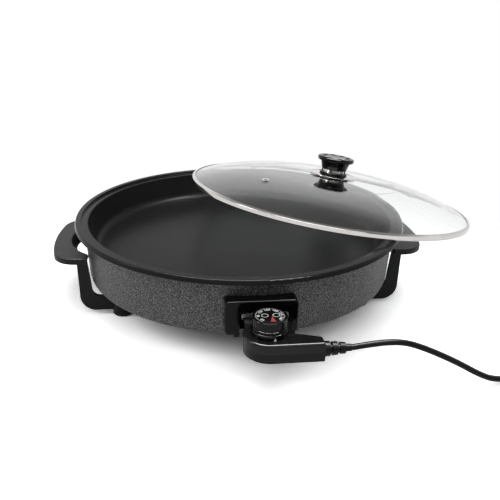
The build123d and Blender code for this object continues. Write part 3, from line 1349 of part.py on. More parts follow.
# Rim band: a rolled channel round the glass's edge. Its upper lip lies on the glass.
lip_inner_radius = band_radius - band_lip
lip_lift = 0.25
with BuildPart() as lid_rim_band:
    with BuildSketch(lid_section):
        with BuildLine():
            FilletPolyline(
                (lip_inner_radius, glass_height_at(lip_inner_radius) + lip_lift),
                (band_radius - band_sheet, glass_height_at(band_radius - band_sheet) + lip_lift),
                (band_radius - band_sheet, band_bottom + band_sheet),
                (lip_inner_radius, band_bottom + band_sheet),
                (lip_inner_radius, band_bottom),
                (band_radius, band_bottom),
                (band_radius, glass_height_at(band_radius) + lip_lift + band_sheet),
                (lip_inner_radius, glass_height_at(lip_inner_radius) + lip_lift + band_sheet),
                radius=[0, 0.4, 0.6, 0, 0, 1.2, 0.8, 0],
                close=True,
            )
        make_face()
    revolve(axis=lid_axis)
lid_rim_band.part.label = "lid_rim_band"
export_step(lid_rim_band.part, "parts/lid_rim_band.step")

# Vent eyelet: a rolled metal grommet through the glass.
eyelet_radius = 5.2
eyelet_bore_radius = 1.9
eyelet_lift = 0.35
with BuildPart() as eyelet_shape:
    with BuildSketch(vent_plane.offset(eyelet_lift)):
        Circle(eyelet_radius)
    extrude(amount=0.8)
    with BuildSketch(vent_plane.offset(-glass_thickness - 0.8)):
        Circle(vent_hole_radius - 2 * fit_gap)
    extrude(amount=glass_thickness + 1.4)
    with BuildSketch(vent_plane.offset(-glass_thickness - 1.0)):
        Circle(eyelet_bore_radius)
    extrude(amount=glass_thickness + 3.0, mode=Mode.SUBTRACT)
with BuildPart() as vent_eyelet:
    with Locations(lid_plane):
        add(eyelet_shape.part)
vent_eyelet.part.label = "vent_eyelet"
export_step(vent_eyelet.part, "parts/vent_eyelet.step")

# Knob washer: the soft seal between glass and flange.
washer_top = crown_height + 0.9
with BuildPart() as knob_washer:
    with BuildSketch(lid_plane.offset(crown_height + seat_gap)):
        Circle(14.0)
        Circle(knob_screw_radius + fit_gap, mode=Mode.SUBTRACT)
    extrude(amount=washer_top - crown_height - seat_gap)
knob_washer.part.label = "knob_washer"
export_step(knob_washer.part, "parts/knob_washer.step")

# Knob flange: a polished dish under the knob with a turned-up edge.
flange_sheet = 0.8
flange_face = washer_top + seat_gap
with BuildPart() as knob_flange:
    with BuildSketch(lid_section):
        with BuildLine():
            FilletPolyline(
                (knob_screw_radius + fit_gap, flange_face),
                (22.0, flange_face),
                (31.5, flange_face - 1.1),
                (flange_radius, flange_face + 0.1),
                (flange_radius, flange_face + 0.1 + flange_sheet),
                (31.5, flange_face - 1.1 + flange_sheet),
                (22.0, flange_face + flange_sheet),
                (knob_screw_radius + fit_gap, flange_face + flange_sheet),
                radius=[0, 4.0, 2.0, 0.3, 0.3, 2.0, 4.0, 0],
                close=True,
            )
        make_face()
    revolve(axis=lid_axis)
knob_flange.part.label = "knob_flange"
export_step(knob_flange.part, "parts/knob_flange.step")

# Knob base ring: the dark foot between the flange and the bright spacer.
base_ring_bottom = flange_face + flange_sheet + seat_gap
base_ring_top = 33.5
with BuildPart() as knob_base_ring:
    with BuildSketch(lid_plane.offset(base_ring_bottom)):
        Circle(base_ring_radius)
        Circle(knob_screw_radius + fit_gap, mode=Mode.SUBTRACT)
    extrude(amount=base_ring_top - base_ring_bottom)
    fillet(knob_base_ring.faces().filter_by(GeomType.CYLINDER).sort_by(SortBy.AREA)[-1].edges(),
           0.8)
knob_base_ring.part.label = "knob_base_ring"
export_step(knob_base_ring.part, "parts/knob_base_ring.step")

# Knob spacer: the bright steel ring seen between the posts.
spacer_radius = 15.8
with BuildPart() as knob_spacer:
    with BuildSketch(lid_plane.offset(base_ring_top + seat_gap)):
        Circle(spacer_radius)
        Circle(knob_screw_radius + fit_gap, mode=Mode.SUBTRACT)
    extrude(amount=knob_foot_height - base_ring_top - 2 * seat_gap)
knob_spacer.part.label = "knob_spacer"
export_step(knob_spacer.part, "parts/knob_spacer.step")

# Lid knob: a slightly conical grip that stands on six posts round the spacer.
post_radius = 1.0
knob_bore_depth = 8.5
with BuildPart() as lid_knob:
    with BuildSketch(lid_section):
        with BuildLine():
            FilletPolyline(
                (0, knob_foot_height),
                (knob_foot_radius, knob_foot_height),
                (knob_radius - 5.0, knob_disc_height - seat_gap),
                (0, knob_disc_height - seat_gap),
                radius=[0.8, 0.3],
            )
            Line((0, knob_disc_height - seat_gap), (0, knob_foot_height))
        make_face()
    revolve(axis=lid_axis)
    with BuildSketch(lid_plane.offset(base_ring_top + seat_gap)):
        with PolarLocations(knob_foot_radius - post_radius + 0.3, knob_post_count):
            Circle(post_radius)
    extrude(amount=knob_foot_height - base_ring_top + 1.0)
    with BuildSketch(lid_plane.offset(knob_foot_height)):
        Circle(knob_screw_radius + seat_gap)
    extrude(amount=knob_bore_depth, mode=Mode.SUBTRACT)
lid_knob.part.label = "lid_knob"
export_step(lid_knob.part, "parts/lid_knob.step")

# Knob top: a disc with a rolled edge, a shallow dish and a ring of finger dents.
dent_circle_radius = 18.0
dent_sphere_radius = 9.0
dent_depth = 1.5
with BuildPart() as knob_top:
    with BuildSketch(lid_section):
        with BuildLine():
            FilletPolyline(
                (0, knob_disc_height),
                (knob_radius - 1.6, knob_disc_height),
                (knob_radius, knob_disc_height + 1.4),
                (knob_radius, knob_top_height - 0.4),
                (knob_radius - 4.0, knob_top_height),
                (0, knob_top_height - 1.2),
                radius=[0.6, 1.6, 2.2, 3.0],
            )
            Line((0, knob_top_height - 1.2), (0, knob_disc_height))
        make_face()
    revolve(axis=lid_axis)
    with Locations(lid_plane.offset(knob_top_height + dent_sphere_radius - dent_depth)):
        with PolarLocations(dent_circle_radius, knob_dent_count):
            Sphere(dent_sphere_radius, mode=Mode.SUBTRACT)
knob_top.part.label = "knob_top"
export_step(knob_top.part, "parts/knob_top.step")

# Knob retainer: the crown-shaped washer under the glass, whose lobes bear on it.
retainer_bottom = 10.6
retainer_rim = 16.2
lobe_radius = 6.4
retainer_top = crown_height - glass_thickness - 0.5
with BuildPart() as knob_retainer:
    with BuildSketch(lid_section):
        with BuildLine():
            FilletPolyline(
                (0, retainer_bottom),
                (retainer_radius - 7.0, retainer_bottom),
                (retainer_radius, retainer_rim - 2.4),
                (retainer_radius, retainer_rim),
                (retainer_radius - 1.4, retainer_top),
                (0, retainer_top),
                radius=[4.0, 1.2, 2.0, 1.0],
            )
            Line((0, retainer_top), (0, retainer_bottom))
        make_face()
    revolve(axis=lid_axis)
    with BuildSketch(lid_plane.offset(retainer_rim + 1.0)):
        Circle(retainer_radius + 1.0)
        Circle(8.0, mode=Mode.SUBTRACT)
        with PolarLocations(retainer_radius - lobe_radius - 1.6, retainer_lobe_count):
            Circle(lobe_radius, mode=Mode.SUBTRACT)
    extrude(amount=crown_height, mode=Mode.SUBTRACT)
    with BuildSketch(lid_plane):
        Circle(knob_screw_radius + fit_gap)
    extrude(amount=2 * crown_height, mode=Mode.SUBTRACT)
knob_retainer.part.label = "knob_retainer"
export_step(knob_retainer.part, "parts/knob_retainer.step")

# Knob screw: up through retainer, glass, flange and rings into the knob.
with BuildPart() as knob_screw:
    with BuildSketch(lid_plane.offset(retainer_bottom - seat_gap)):
        Circle(2 * knob_screw_radius)
    extrude(amount=-3.0)
    with BuildSketch(lid_plane.offset(retainer_bottom - 1.0)):
        Circle(knob_screw_radius)
    extrude(amount=knob_foot_height + knob_bore_depth - retainer_bottom)
knob_screw.part.label = "knob_screw"
export_step(knob_screw.part, "parts/knob_screw.step")
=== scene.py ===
import bmesh
import bpy
import math
from mathutils import Matrix, Vector


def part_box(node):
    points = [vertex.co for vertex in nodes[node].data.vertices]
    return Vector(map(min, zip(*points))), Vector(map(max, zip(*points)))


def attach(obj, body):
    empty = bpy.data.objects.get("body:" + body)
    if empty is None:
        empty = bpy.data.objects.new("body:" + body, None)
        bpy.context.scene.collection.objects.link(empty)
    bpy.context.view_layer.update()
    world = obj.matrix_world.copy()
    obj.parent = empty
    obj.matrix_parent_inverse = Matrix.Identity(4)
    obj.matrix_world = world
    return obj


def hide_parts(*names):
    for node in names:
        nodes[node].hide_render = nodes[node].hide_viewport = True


# Electric skillet with a loose glass lid, a plug-in thermostat and its cord.
# Metres, in the part's own frame: the pan's axis is Z, the socket faces -Y.

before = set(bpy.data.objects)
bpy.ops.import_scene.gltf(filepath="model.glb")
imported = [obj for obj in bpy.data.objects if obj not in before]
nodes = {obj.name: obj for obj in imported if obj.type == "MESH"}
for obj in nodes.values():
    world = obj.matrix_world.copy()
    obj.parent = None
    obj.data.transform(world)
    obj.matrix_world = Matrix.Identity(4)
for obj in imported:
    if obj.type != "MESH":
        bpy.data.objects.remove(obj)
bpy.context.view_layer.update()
scene = bpy.context.scene
print("frame loaded:", len(nodes), "nodes")


view = {
    "place": (-0.08743, -0.78838, 0.39810),
    "turn": (66.8126, -1.1780, -6.9844),  # degrees, XYZ
    "lens": 44.544,
    "shift": (-0.001, 0.002),
}

cameraData = bpy.data.cameras.new("camera")
cameraData.sensor_width = 36.0
cameraData.lens = view["lens"]
cameraData.shift_x, cameraData.shift_y = view["shift"]
cameraData.clip_start = 0.02
camera = bpy.data.objects.new("camera", cameraData)
camera.location = view["place"]
camera.rotation_euler = [math.radians(a) for a in view["turn"]]
scene.collection.objects.link(camera)
scene.camera = camera


def startMaterial(name, colour=(0.5, 0.5, 0.5), rough=0.5, metal=0.0):
    material = bpy.data.materials.new(name)
    material.use_nodes = True
    shader = material.node_tree.nodes["Principled BSDF"]
    shader.inputs["Base Color"].default_value = (*colour, 1.0)
    shader.inputs["Roughness"].default_value = rough
    shader.inputs["Metallic"].default_value = metal
    return material, material.node_tree, shader


def objectPoints(tree, scale=(1.0, 1.0, 1.0)):
    coordinates = tree.nodes.new("ShaderNodeTexCoord")
    mapping = tree.nodes.new("ShaderNodeMapping")
    mapping.inputs["Scale"].default_value = scale
    tree.links.new(coordinates.outputs["Object"], mapping.inputs["Vector"])
    return mapping.outputs["Vector"]


def noise(tree, vector, scale, detail=2.0, rough=0.5):
    texture = tree.nodes.new("ShaderNodeTexNoise")
    texture.inputs["Scale"].default_value = scale
    texture.inputs["Detail"].default_value = detail
    texture.inputs["Roughness"].default_value = rough
    tree.links.new(vector, texture.inputs["Vector"])
    return texture.outputs["Fac"]


def fullColour(value):
    # a grey number or three colour parts, with alpha added
    parts = value if hasattr(value, "__len__") else [value] * 3
    return (*parts, 1.0)


def scaled(parts, share):
    return [part * share for part in parts]


def ramp(tree, factor, stops):
    node = tree.nodes.new("ShaderNodeValToRGB")
    elements = node.color_ramp.elements
    elements[0].position, elements[1].position = stops[0][0], stops[-1][0]
    elements[0].color, elements[1].color = fullColour(stops[0][1]), fullColour(stops[-1][1])
    for at, value in stops[1:-1]:
        elements.new(at).color = fullColour(value)
    tree.links.new(factor, node.inputs["Fac"])
    return node.outputs["Color"]


def spread(tree, factor, low, high, fromLow=0.3, fromHigh=0.7):
    node = tree.nodes.new("ShaderNodeMapRange")
    node.inputs["From Min"].default_value = fromLow
    node.inputs["From Max"].default_value = fromHigh
    node.inputs["To Min"].default_value = low
    node.inputs["To Max"].default_value = high
    tree.links.new(factor, node.inputs["Value"])
    return node.outputs["Result"]


def reckon(tree, operation, *values, clamp=False):
    # one step of arithmetic; each value is a number or another node's output
    node = tree.nodes.new("ShaderNodeMath")
    node.operation = operation
    node.use_clamp = clamp
    for socket, value in zip(node.inputs, values):
        if isinstance(value, (int, float)):
            socket.default_value = value
        else:
            tree.links.new(value, socket)
    return node.outputs[0]


def distance(tree, vector):
    node = tree.nodes.new("ShaderNodeVectorMath")
    node.operation = "LENGTH"
    tree.links.new(vector, node.inputs[0])
    return node.outputs["Value"]


def bump(tree, shader, height, depth, strength):
    node = tree.nodes.new("ShaderNodeBump")
    node.inputs["Distance"].default_value = depth
    node.inputs["Strength"].default_value = strength
    tree.links.new(height, node.inputs["Height"])
    tree.links.new(node.outputs["Normal"], shader.inputs["Normal"])


def dress(names, material):
    for name in names.split():
        piece = nodes[name]
        if not piece.material_slots:
            piece.data.materials.append(material)
        for slot in piece.material_slots:
            slot.material = material


enamel = {
    # where in the grain, and how pale
    "dark": (0.47, 0.002), "middle": (0.555, 0.025), "fleck": (0.62, 0.150),
    "grain": 760.0, "grainShare": 0.6,
    "fineGrain": 1500.0, "fineShare": 0.5,
    "metal": 0.25, "depth": 0.00042, "strength": 0.8,
    "rough": (0.5, 0.3), "roughOver": (0.45, 0.65),  # from the dark to the pale grain
}


def speckledEnamel():
    material, tree, shader = startMaterial("speckledEnamel", metal=enamel["metal"])
    points = objectPoints(tree)
    coarse = noise(tree, points, enamel["grain"], detail=2.0, rough=0.6)
    fine = noise(tree, points, enamel["fineGrain"], detail=1.0, rough=0.5)
    coarse = reckon(tree, "MULTIPLY", coarse, enamel["grainShare"])
    grain = reckon(tree, "MULTIPLY_ADD", fine, enamel["fineShare"], coarse)
    colour = ramp(tree, grain, [enamel["dark"], enamel["middle"], enamel["fleck"]])
    tree.links.new(colour, shader.inputs["Base Color"])
    roughness = spread(tree, grain, *enamel["rough"], *enamel["roughOver"])
    tree.links.new(roughness, shader.inputs["Roughness"])
    bump(tree, shader, grain, enamel["depth"], enamel["strength"])
    return material


coating = {
    "dark": (0.3, 0.0092), "middle": (0.52, 0.0115), "fleck": (0.72, 0.020),
    "grain": 2600.0, "depth": 0.00003, "strength": 0.3,
    "rough": (0.28, 0.34), "roughPatches": 9.0,
    "shine": 0.07,
    # towards the lip it is rubbed to a share of its roughness
    "lipOver": (0.2010, 0.2030), "lipRough": 0.5,
}


def nonStick():
    material, tree, shader = startMaterial("nonStickCoating")
    shader.inputs["Specular IOR Level"].default_value = coating["shine"]
    points = objectPoints(tree)
    fine = noise(tree, points, coating["grain"], detail=2.0, rough=0.6)
    patches = noise(tree, points, coating["roughPatches"], detail=3.0, rough=0.5)
    colour = ramp(tree, fine, [coating["dark"], coating["middle"], coating["fleck"]])
    tree.links.new(colour, shader.inputs["Base Color"])
    radius = distance(tree, objectPoints(tree, (1.0, 1.0, 0.0)))
    worn = spread(tree, radius, 1.0, coating["lipRough"], *coating["lipOver"])
    satin = spread(tree, patches, *coating["rough"])
    tree.links.new(reckon(tree, "MULTIPLY", satin, worn), shader.inputs["Roughness"])
    bump(tree, shader, fine, coating["depth"], coating["strength"])
    return material


moulding = {
    "dark": 0.85, "pale": 1.15,  # shares of the written colour
    "patches": 35.0, "strength": 0.6,
}


def moulded(name, colour, rough, grain, depth, roughSpread=0.05, shine=0.5):
    material, tree, shader = startMaterial(name)
    shader.inputs["Specular IOR Level"].default_value = shine
    points = objectPoints(tree)
    fine = noise(tree, points, grain, detail=3.0, rough=0.6)
    patches = noise(tree, points, moulding["patches"], detail=4.0, rough=0.6)
    stops = [(0.3, scaled(colour, moulding["dark"])), (0.7, scaled(colour, moulding["pale"]))]
    tree.links.new(ramp(tree, patches, stops), shader.inputs["Base Color"])
    roughness = spread(tree, patches, rough - roughSpread, rough + roughSpread)
    tree.links.new(roughness, shader.inputs["Roughness"])
    bump(tree, shader, fine, depth, moulding["strength"])
    return material


steel = {
    "polishedDark": 0.93, "drawnDark": 0.75,  # shares of the written colour
    "polishedRough": (0.6, 1.6),  # shares of the written roughness
    "drawnSmoother": 0.08, "drawnRougher": 0.10,  # taken off it and added to it
    "patches": 60.0,
    "drawnDepth": 0.00004, "drawnStrength": 0.5,
}


def polishedSteel(name, colour, rough):
    material, tree, shader = startMaterial(name, colour, rough, 1.0)
    patches = noise(tree, objectPoints(tree), steel["patches"], detail=4.0, rough=0.6)
    smoothest, roughest = scaled(steel["polishedRough"], rough)
    tree.links.new(spread(tree, patches, smoothest, roughest), shader.inputs["Roughness"])
    stops = [(0.3, scaled(colour, steel["polishedDark"])), (0.7, colour)]
    tree.links.new(ramp(tree, patches, stops), shader.inputs["Base Color"])
    return material


def drawnSteel(name, colour, rough, stretch):
    material, tree, shader = startMaterial(name, colour, rough, 1.0)
    streaks = noise(tree, objectPoints(tree, stretch), 1.0, detail=4.0, rough=0.6)
    stops = [(0.25, scaled(colour, steel["drawnDark"])), (0.75, colour)]
    tree.links.new(ramp(tree, streaks, stops), shader.inputs["Base Color"])
    roughness = spread(tree, streaks, rough - steel["drawnSmoother"], rough + steel["drawnRougher"])
    tree.links.new(roughness, shader.inputs["Roughness"])
    bump(tree, shader, streaks, steel["drawnDepth"], steel["drawnStrength"])
    return material


glass = {"tint": (0.965, 0.975, 0.98), "shadowTint": (0.88, 0.9, 0.9), "index": 1.5}


def lidGlass():
    material, tree, shader = startMaterial("lidGlass", glass["tint"], 0.0)
    shader.inputs["Transmission Weight"].default_value = 1.0
    shader.inputs["IOR"].default_value = glass["index"]
    clear = tree.nodes.new("ShaderNodeBsdfTransparent")
    clear.inputs["Color"].default_value = fullColour(glass["shadowTint"])
    ways = tree.nodes.new("ShaderNodeLightPath")
    either = tree.nodes.new("ShaderNodeMixShader")
    tree.links.new(ways.outputs["Is Shadow Ray"], either.inputs["Fac"])
    tree.links.new(shader.outputs["BSDF"], either.inputs[1])
    tree.links.new(clear.outputs["BSDF"], either.inputs[2])
    tree.links.new(either.outputs["Shader"], tree.nodes["Material Output"].inputs["Surface"])
    return material


finishes = {
    "enamel": speckledEnamel(),
    "coating": nonStick(),
    "glossBlack": moulded("glossBlackPlastic", (0.002, 0.002, 0.0022), rough=0.09,
                          grain=900.0, depth=0.00001, roughSpread=0.02, shine=0.20),
    "guardBlack": moulded("guardBlackPlastic", (0.0015, 0.0015, 0.0016), rough=0.10,
                          grain=900.0, depth=0.00001, roughSpread=0.02, shine=0.15),
    # painted sheen: a paler black than the lower housing's, so that the upper housing's top reads as lit
    "sheenPaintedBlack": moulded("sheenPaintedBlackPlastic", (0.010, 0.010, 0.0105), rough=0.12,
                          grain=900.0, depth=0.00001, roughSpread=0.02, shine=0.20),
    "handleBlack": moulded("handleBlackPlastic", (0.005, 0.005, 0.0055), rough=0.38,
                           grain=2400.0, depth=0.00012, roughSpread=0.05, shine=0.20),
    "dialFace": moulded("dialFacePlastic", (0.004, 0.004, 0.0045), rough=0.20,
                        grain=900.0, depth=0.00001, roughSpread=0.03, shine=0.15),
    "rubber": moulded("footRubber", (0.008, 0.008, 0.008), rough=0.6,
                      grain=1500.0, depth=0.0001, roughSpread=0.05, shine=0.3),
    "cable": moulded("cableSheath", (0.005, 0.005, 0.005), rough=0.32,
                     grain=900.0, depth=0.00003, roughSpread=0.04, shine=0.13),
    "tie": moulded("tieBlack", (0.02, 0.02, 0.02), rough=0.6, grain=1500.0, depth=0.00008),
    "insulator": moulded("insulatorCream", (0.55, 0.5, 0.42), rough=0.55, grain=700.0, depth=0.00008),
    "polished": polishedSteel("polishedSteel", (0.72, 0.70, 0.68), rough=0.05),
    "band": polishedSteel("bandSteel", (0.66, 0.64, 0.62), rough=0.05),
    "plated": drawnSteel("platedSteel", (0.78, 0.77, 0.75), rough=0.26, stretch=(300.0, 60.0, 900.0)),
    "cover": drawnSteel("coverSteel", (0.10, 0.10, 0.10), rough=0.5, stretch=(60.0, 700.0, 700.0)),
    "dull": drawnSteel("dullSteel", (0.5, 0.5, 0.49), rough=0.38, stretch=(40.0, 900.0, 900.0)),
    "element": drawnSteel("elementSteel", (0.33, 0.31, 0.29), rough=0.42, stretch=(500.0, 500.0, 500.0)),
    "brass": drawnSteel("contactBrass", (0.75, 0.56, 0.24), rough=0.3, stretch=(600.0, 80.0, 600.0)),
    "glass": lidGlass(),
}
print("finishes made:", len(finishes))

dress("pan", finishes["coating"])
dress("outer_skirt", finishes["enamel"])
dress("bottom_cover", finishes["cover"])
dress("inlet_shroud", finishes["plated"])
dress("knob_washer strap_screws inlet_screws guard_screws handle_screws"
      " housing_screws element_straps knob_screw dial_spindle", finishes["dull"])
dress("heating_element probe_rod power_pins earth_pin", finishes["element"])
dress("inlet_block switch_block", finishes["insulator"])
dress("socket_guard", finishes["guardBlack"])
# the upper housing takes the paler black, a painted sheen standing in for the light on its top
dress("thermostat_upper_housing", finishes["sheenPaintedBlack"])
dress("thermostat_lower_housing dial_collar dial_knob"
      " lid_knob knob_top knob_retainer mains_plug knob_base_ring", finishes["glossBlack"])
dress("handle_left handle_right", finishes["handleBlack"])
dress("rubber_feet", finishes["rubber"])
dress("contact_sleeves earth_contact plug_pins", finishes["brass"])
dress("cord_lead cord_coil strain_relief", finishes["cable"])
dress("cord_tie", finishes["tie"])
dress("dial_face", finishes["dialFace"])
dress("lid_glass", finishes["glass"])
dress("lid_rim_band", finishes["band"])
dress("vent_eyelet knob_flange knob_spacer", finishes["polished"])
print("nodes dressed")


cord = {
    "diameter": 0.0066,
    "length": 1.40,
    "route": [  # out of the strain relief, down to the table and along it
        (0.0879, -0.2635, 0.0610), (0.1070, -0.2635, 0.0636), (0.1300, -0.2635, 0.0652),
        (0.1480, -0.2635, 0.0628), (0.1670, -0.2634, 0.0552), (0.1910, -0.2632, 0.0434),
        (0.2110, -0.2630, 0.0322), (0.2310, -0.2620, 0.0196), (0.2510, -0.2586, 0.0086),
        (0.2720, -0.2550, 0.0047), (0.2999, -0.2543, 0.0047), (0.3200, -0.2543, 0.0045),
    ],
    "coilPlace": (0.330, -0.292),
    "coilStart": 90.0,  # degrees; the winding runs clockwise from there
    "pointsPerTurn": 20,
    # column radius and height of each turn at the back, in winding order
    "slots": [(0.0380, 0.0044), (0.0314, 0.0044), (0.0314, 0.0110), (0.0380, 0.0110), (0.0314, 0.0176),
              (0.0377, 0.0173)],
    # where in a turn, as a share of it, each one steps over to the next slot
    "steps": [(0.79, 0.96), (0.68, 0.83), (0.60, 0.75), (0.48, 0.63), (0.33, 0.48)],
    # the last turn bulges out and up over the step below it
    "hump": (0.0022, 0.0030), "humpFrom": 0.52, "humpLength": 0.46,
    # and the turn before it swings round its own step
    "swing": (0.0008, 0.0010),
    "tail": [(0.343, -0.2543, 0.0173), (0.3561, -0.2543, 0.0173)],
}


def ease(t):
    t = min(max(t, 0.0), 1.0)
    return t * t * (3.0 - 2.0 * t)


def coilPoints():
    points = []
    per = cord["pointsPerTurn"]
    turns = len(cord["steps"])
    grow = 1.0 / math.cos(math.pi / per)  # the spline runs inside its control points
    for i in range(1, turns * per):
        turn, share = divmod(i / per, 1.0)
        turn = int(turn)
        start, stop = cord["steps"][turn]
        step = ease((share - start) / (stop - start))
        (r0, z0), (r1, z1) = cord["slots"][turn], cord["slots"][turn + 1]
        radius, height = r0 + (r1 - r0) * step, z0 + (z1 - z0) * step
        if turn == turns - 1:
            lift = math.sin(math.pi * ease((share - cord["humpFrom"]) / cord["humpLength"]))
            radius, height = radius + cord["hump"][0] * lift, height + cord["hump"][1] * lift
        if turn == turns - 2:
            lift = math.sin(math.pi * step)
            radius, height = radius + cord["swing"][0] * lift, height + cord["swing"][1] * lift
        angle = math.radians(cord["coilStart"]) - 2.0 * math.pi * share
        points.append((cord["coilPlace"][0] + radius * grow * math.cos(angle),
                       cord["coilPlace"][1] + radius * grow * math.sin(angle), height))
    return points


def makeCord():
    data = bpy.data.curves.new("mains_cord", "CURVE")
    data.dimensions = "3D"
    data.bevel_depth = cord["diameter"] / 2
    data.bevel_resolution = 5
    data.resolution_u = 8
    data.use_fill_caps = True
    spline = data.splines.new("NURBS")
    points = cord["route"] + coilPoints() + cord["tail"]
    spline.points.add(len(points) - 1)
    for point, place in zip(spline.points, points):
        point.co = (*place, 1.0)
    spline.order_u = 3
    spline.use_endpoint_u = True
    piece = bpy.data.objects.new("mains_cord", data)
    scene.collection.objects.link(piece)
    data.materials.append(finishes["cable"])
    return piece


mainsCord = makeCord()
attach(mainsCord, "thermostat")
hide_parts("cord_lead", "cord_coil")
print("cord laid:", len(mainsCord.data.splines[0].points), "points")


# Pieces grown by Geometry Nodes: each tree has its sizes as named inputs.

def startTree(name, sizes):
    tree = bpy.data.node_groups.new(name, "GeometryNodeTree")
    for label, kind in sizes:
        tree.interface.new_socket(label, in_out="INPUT", socket_type="NodeSocket" + kind)
    tree.interface.new_socket("Geometry", in_out="OUTPUT", socket_type="NodeSocketGeometry")
    return tree, tree.nodes.new("NodeGroupInput"), tree.nodes.new("NodeGroupOutput")


def joinXYZ(tree, x=None, y=None, z=None):
    node = tree.nodes.new("ShaderNodeCombineXYZ")
    for socket, value in zip(node.inputs, (x, y, z)):
        if value is not None:
            tree.links.new(value, socket)
    return node.outputs[0]


def closeTree(tree, geometry, material, out):
    real = tree.nodes.new("GeometryNodeRealizeInstances")
    finish = tree.nodes.new("GeometryNodeSetMaterial")
    finish.inputs["Material"].default_value = material
    tree.links.new(geometry, real.inputs[0])
    tree.links.new(real.outputs[0], finish.inputs["Geometry"])
    tree.links.new(finish.outputs[0], out.inputs["Geometry"])


def growPiece(name, tree, sizes, body, material):
    seed = bpy.data.objects.new(name + "Seed", bpy.data.meshes.new(name + "Seed"))
    scene.collection.objects.link(seed)
    grower = seed.modifiers.new("grow", "NODES")
    grower.node_group = tree
    for item in tree.interface.items_tree:
        if item.item_type == "SOCKET" and item.in_out == "INPUT":
            grower[item.identifier] = sizes[item.name]
    ready = seed.evaluated_get(bpy.context.evaluated_depsgraph_get())
    mesh = bpy.data.meshes.new_from_object(ready)
    seed.modifiers.remove(grower)
    bpy.data.objects.remove(seed)
    return placePiece(name, mesh, body, material)


def placePiece(name, mesh, body, material):
    mesh.name = name
    mesh.materials.clear()
    mesh.materials.append(material)
    piece = bpy.data.objects.new(name, mesh)
    scene.collection.objects.link(piece)
    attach(piece, body)
    return piece


ink = {"grain": 700.0, "dark": 0.8, "rough": 0.4, "thickness": 0.00008}


def printInk(name, colour):
    material, tree, shader = startMaterial(name, colour, ink["rough"])
    worn = noise(tree, objectPoints(tree), ink["grain"], detail=3.0, rough=0.6)
    stops = [(0.3, scaled(colour, ink["dark"])), (0.6, colour)]
    tree.links.new(ramp(tree, worn, stops), shader.inputs["Base Color"])
    return material


# The dial's print: a ring of ticks, temperatures, two rings and a red pointer.
dialPrint = {
    "centre": (0.0055, -0.2445),
    "inkLift": 0.6,  # how high the middle of the print lies, as a share of its thickness
    "ticks": 45, "tickRadius": 0.01470, "tickLength": 0.0011, "tickWidth": 0.00045,
    "firstTick": -50.0, "tickSweep": 280.0,
    "numbers": ["60", "90", "120", "150", "180", "210", "240"],
    "numberRadius": 0.0119, "numberSize": 0.0043, "numberBold": 0.00008,
    "firstNumber": 222.0, "numberStep": -42.0,
    "ringRadius": 0.0034, "ringLine": 0.00065, "ringSpread": 0.0058, "ringShift": (0.0007, 0.0006),
    "ringCorners": 40, "weld": 1e-7,
    "pointer": [(0.0020, -0.0012), (-0.0010, -0.0124), (0.0046, -0.0124)], "pointerGap": 0.00001,
}
inkWhite = printInk("dialInkWhite", (0.78, 0.78, 0.77))
inkRed = printInk("dialInkRed", (0.42, 0.05, 0.045))
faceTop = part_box("dial_face")[1][2]
printMiddle = faceTop + ink["thickness"] * dialPrint["inkLift"]


def dialTicks():
    tree, given, out = startTree("dialTicks", [
        ("Count", "Int"), ("Radius", "Float"), ("Length", "Float"), ("Width", "Float"),
        ("Thickness", "Float"), ("First", "Float"), ("Step", "Float"), ("Centre", "Vector"),
    ])
    order = tree.nodes.new("GeometryNodeInputIndex")
    angle = reckon(tree, "MULTIPLY_ADD", order.outputs[0], given.outputs["Step"], given.outputs["First"])
    x = reckon(tree, "MULTIPLY", reckon(tree, "COSINE", angle), given.outputs["Radius"])
    y = reckon(tree, "MULTIPLY", reckon(tree, "SINE", angle), given.outputs["Radius"])
    place = tree.nodes.new("ShaderNodeVectorMath")
    tree.links.new(joinXYZ(tree, x, y), place.inputs[0])
    tree.links.new(given.outputs["Centre"], place.inputs[1])
    points = tree.nodes.new("GeometryNodePoints")
    tree.links.new(given.outputs["Count"], points.inputs["Count"])
    tree.links.new(place.outputs[0], points.inputs["Position"])
    tick = tree.nodes.new("GeometryNodeMeshCube")
    box = joinXYZ(tree, given.outputs["Length"], given.outputs["Width"], given.outputs["Thickness"])
    tree.links.new(box, tick.inputs["Size"])
    turn = tree.nodes.new("FunctionNodeEulerToRotation")
    tree.links.new(joinXYZ(tree, None, None, angle), turn.inputs[0])
    spreadOut = tree.nodes.new("GeometryNodeInstanceOnPoints")
    tree.links.new(points.outputs[0], spreadOut.inputs["Points"])
    tree.links.new(tick.outputs["Mesh"], spreadOut.inputs["Instance"])
    tree.links.new(turn.outputs[0], spreadOut.inputs["Rotation"])
    closeTree(tree, spreadOut.outputs[0], inkWhite, out)
    sizes = {
        "Count": dialPrint["ticks"], "Radius": dialPrint["tickRadius"],
        "Length": dialPrint["tickLength"], "Width": dialPrint["tickWidth"], "Thickness": ink["thickness"],
        "First": math.radians(dialPrint["firstTick"]),
        "Step": math.radians(dialPrint["tickSweep"] / (dialPrint["ticks"] - 1)),
        "Centre": (*dialPrint["centre"], printMiddle),
    }
    return growPiece("dial_ticks", tree, sizes, "dial", inkWhite)


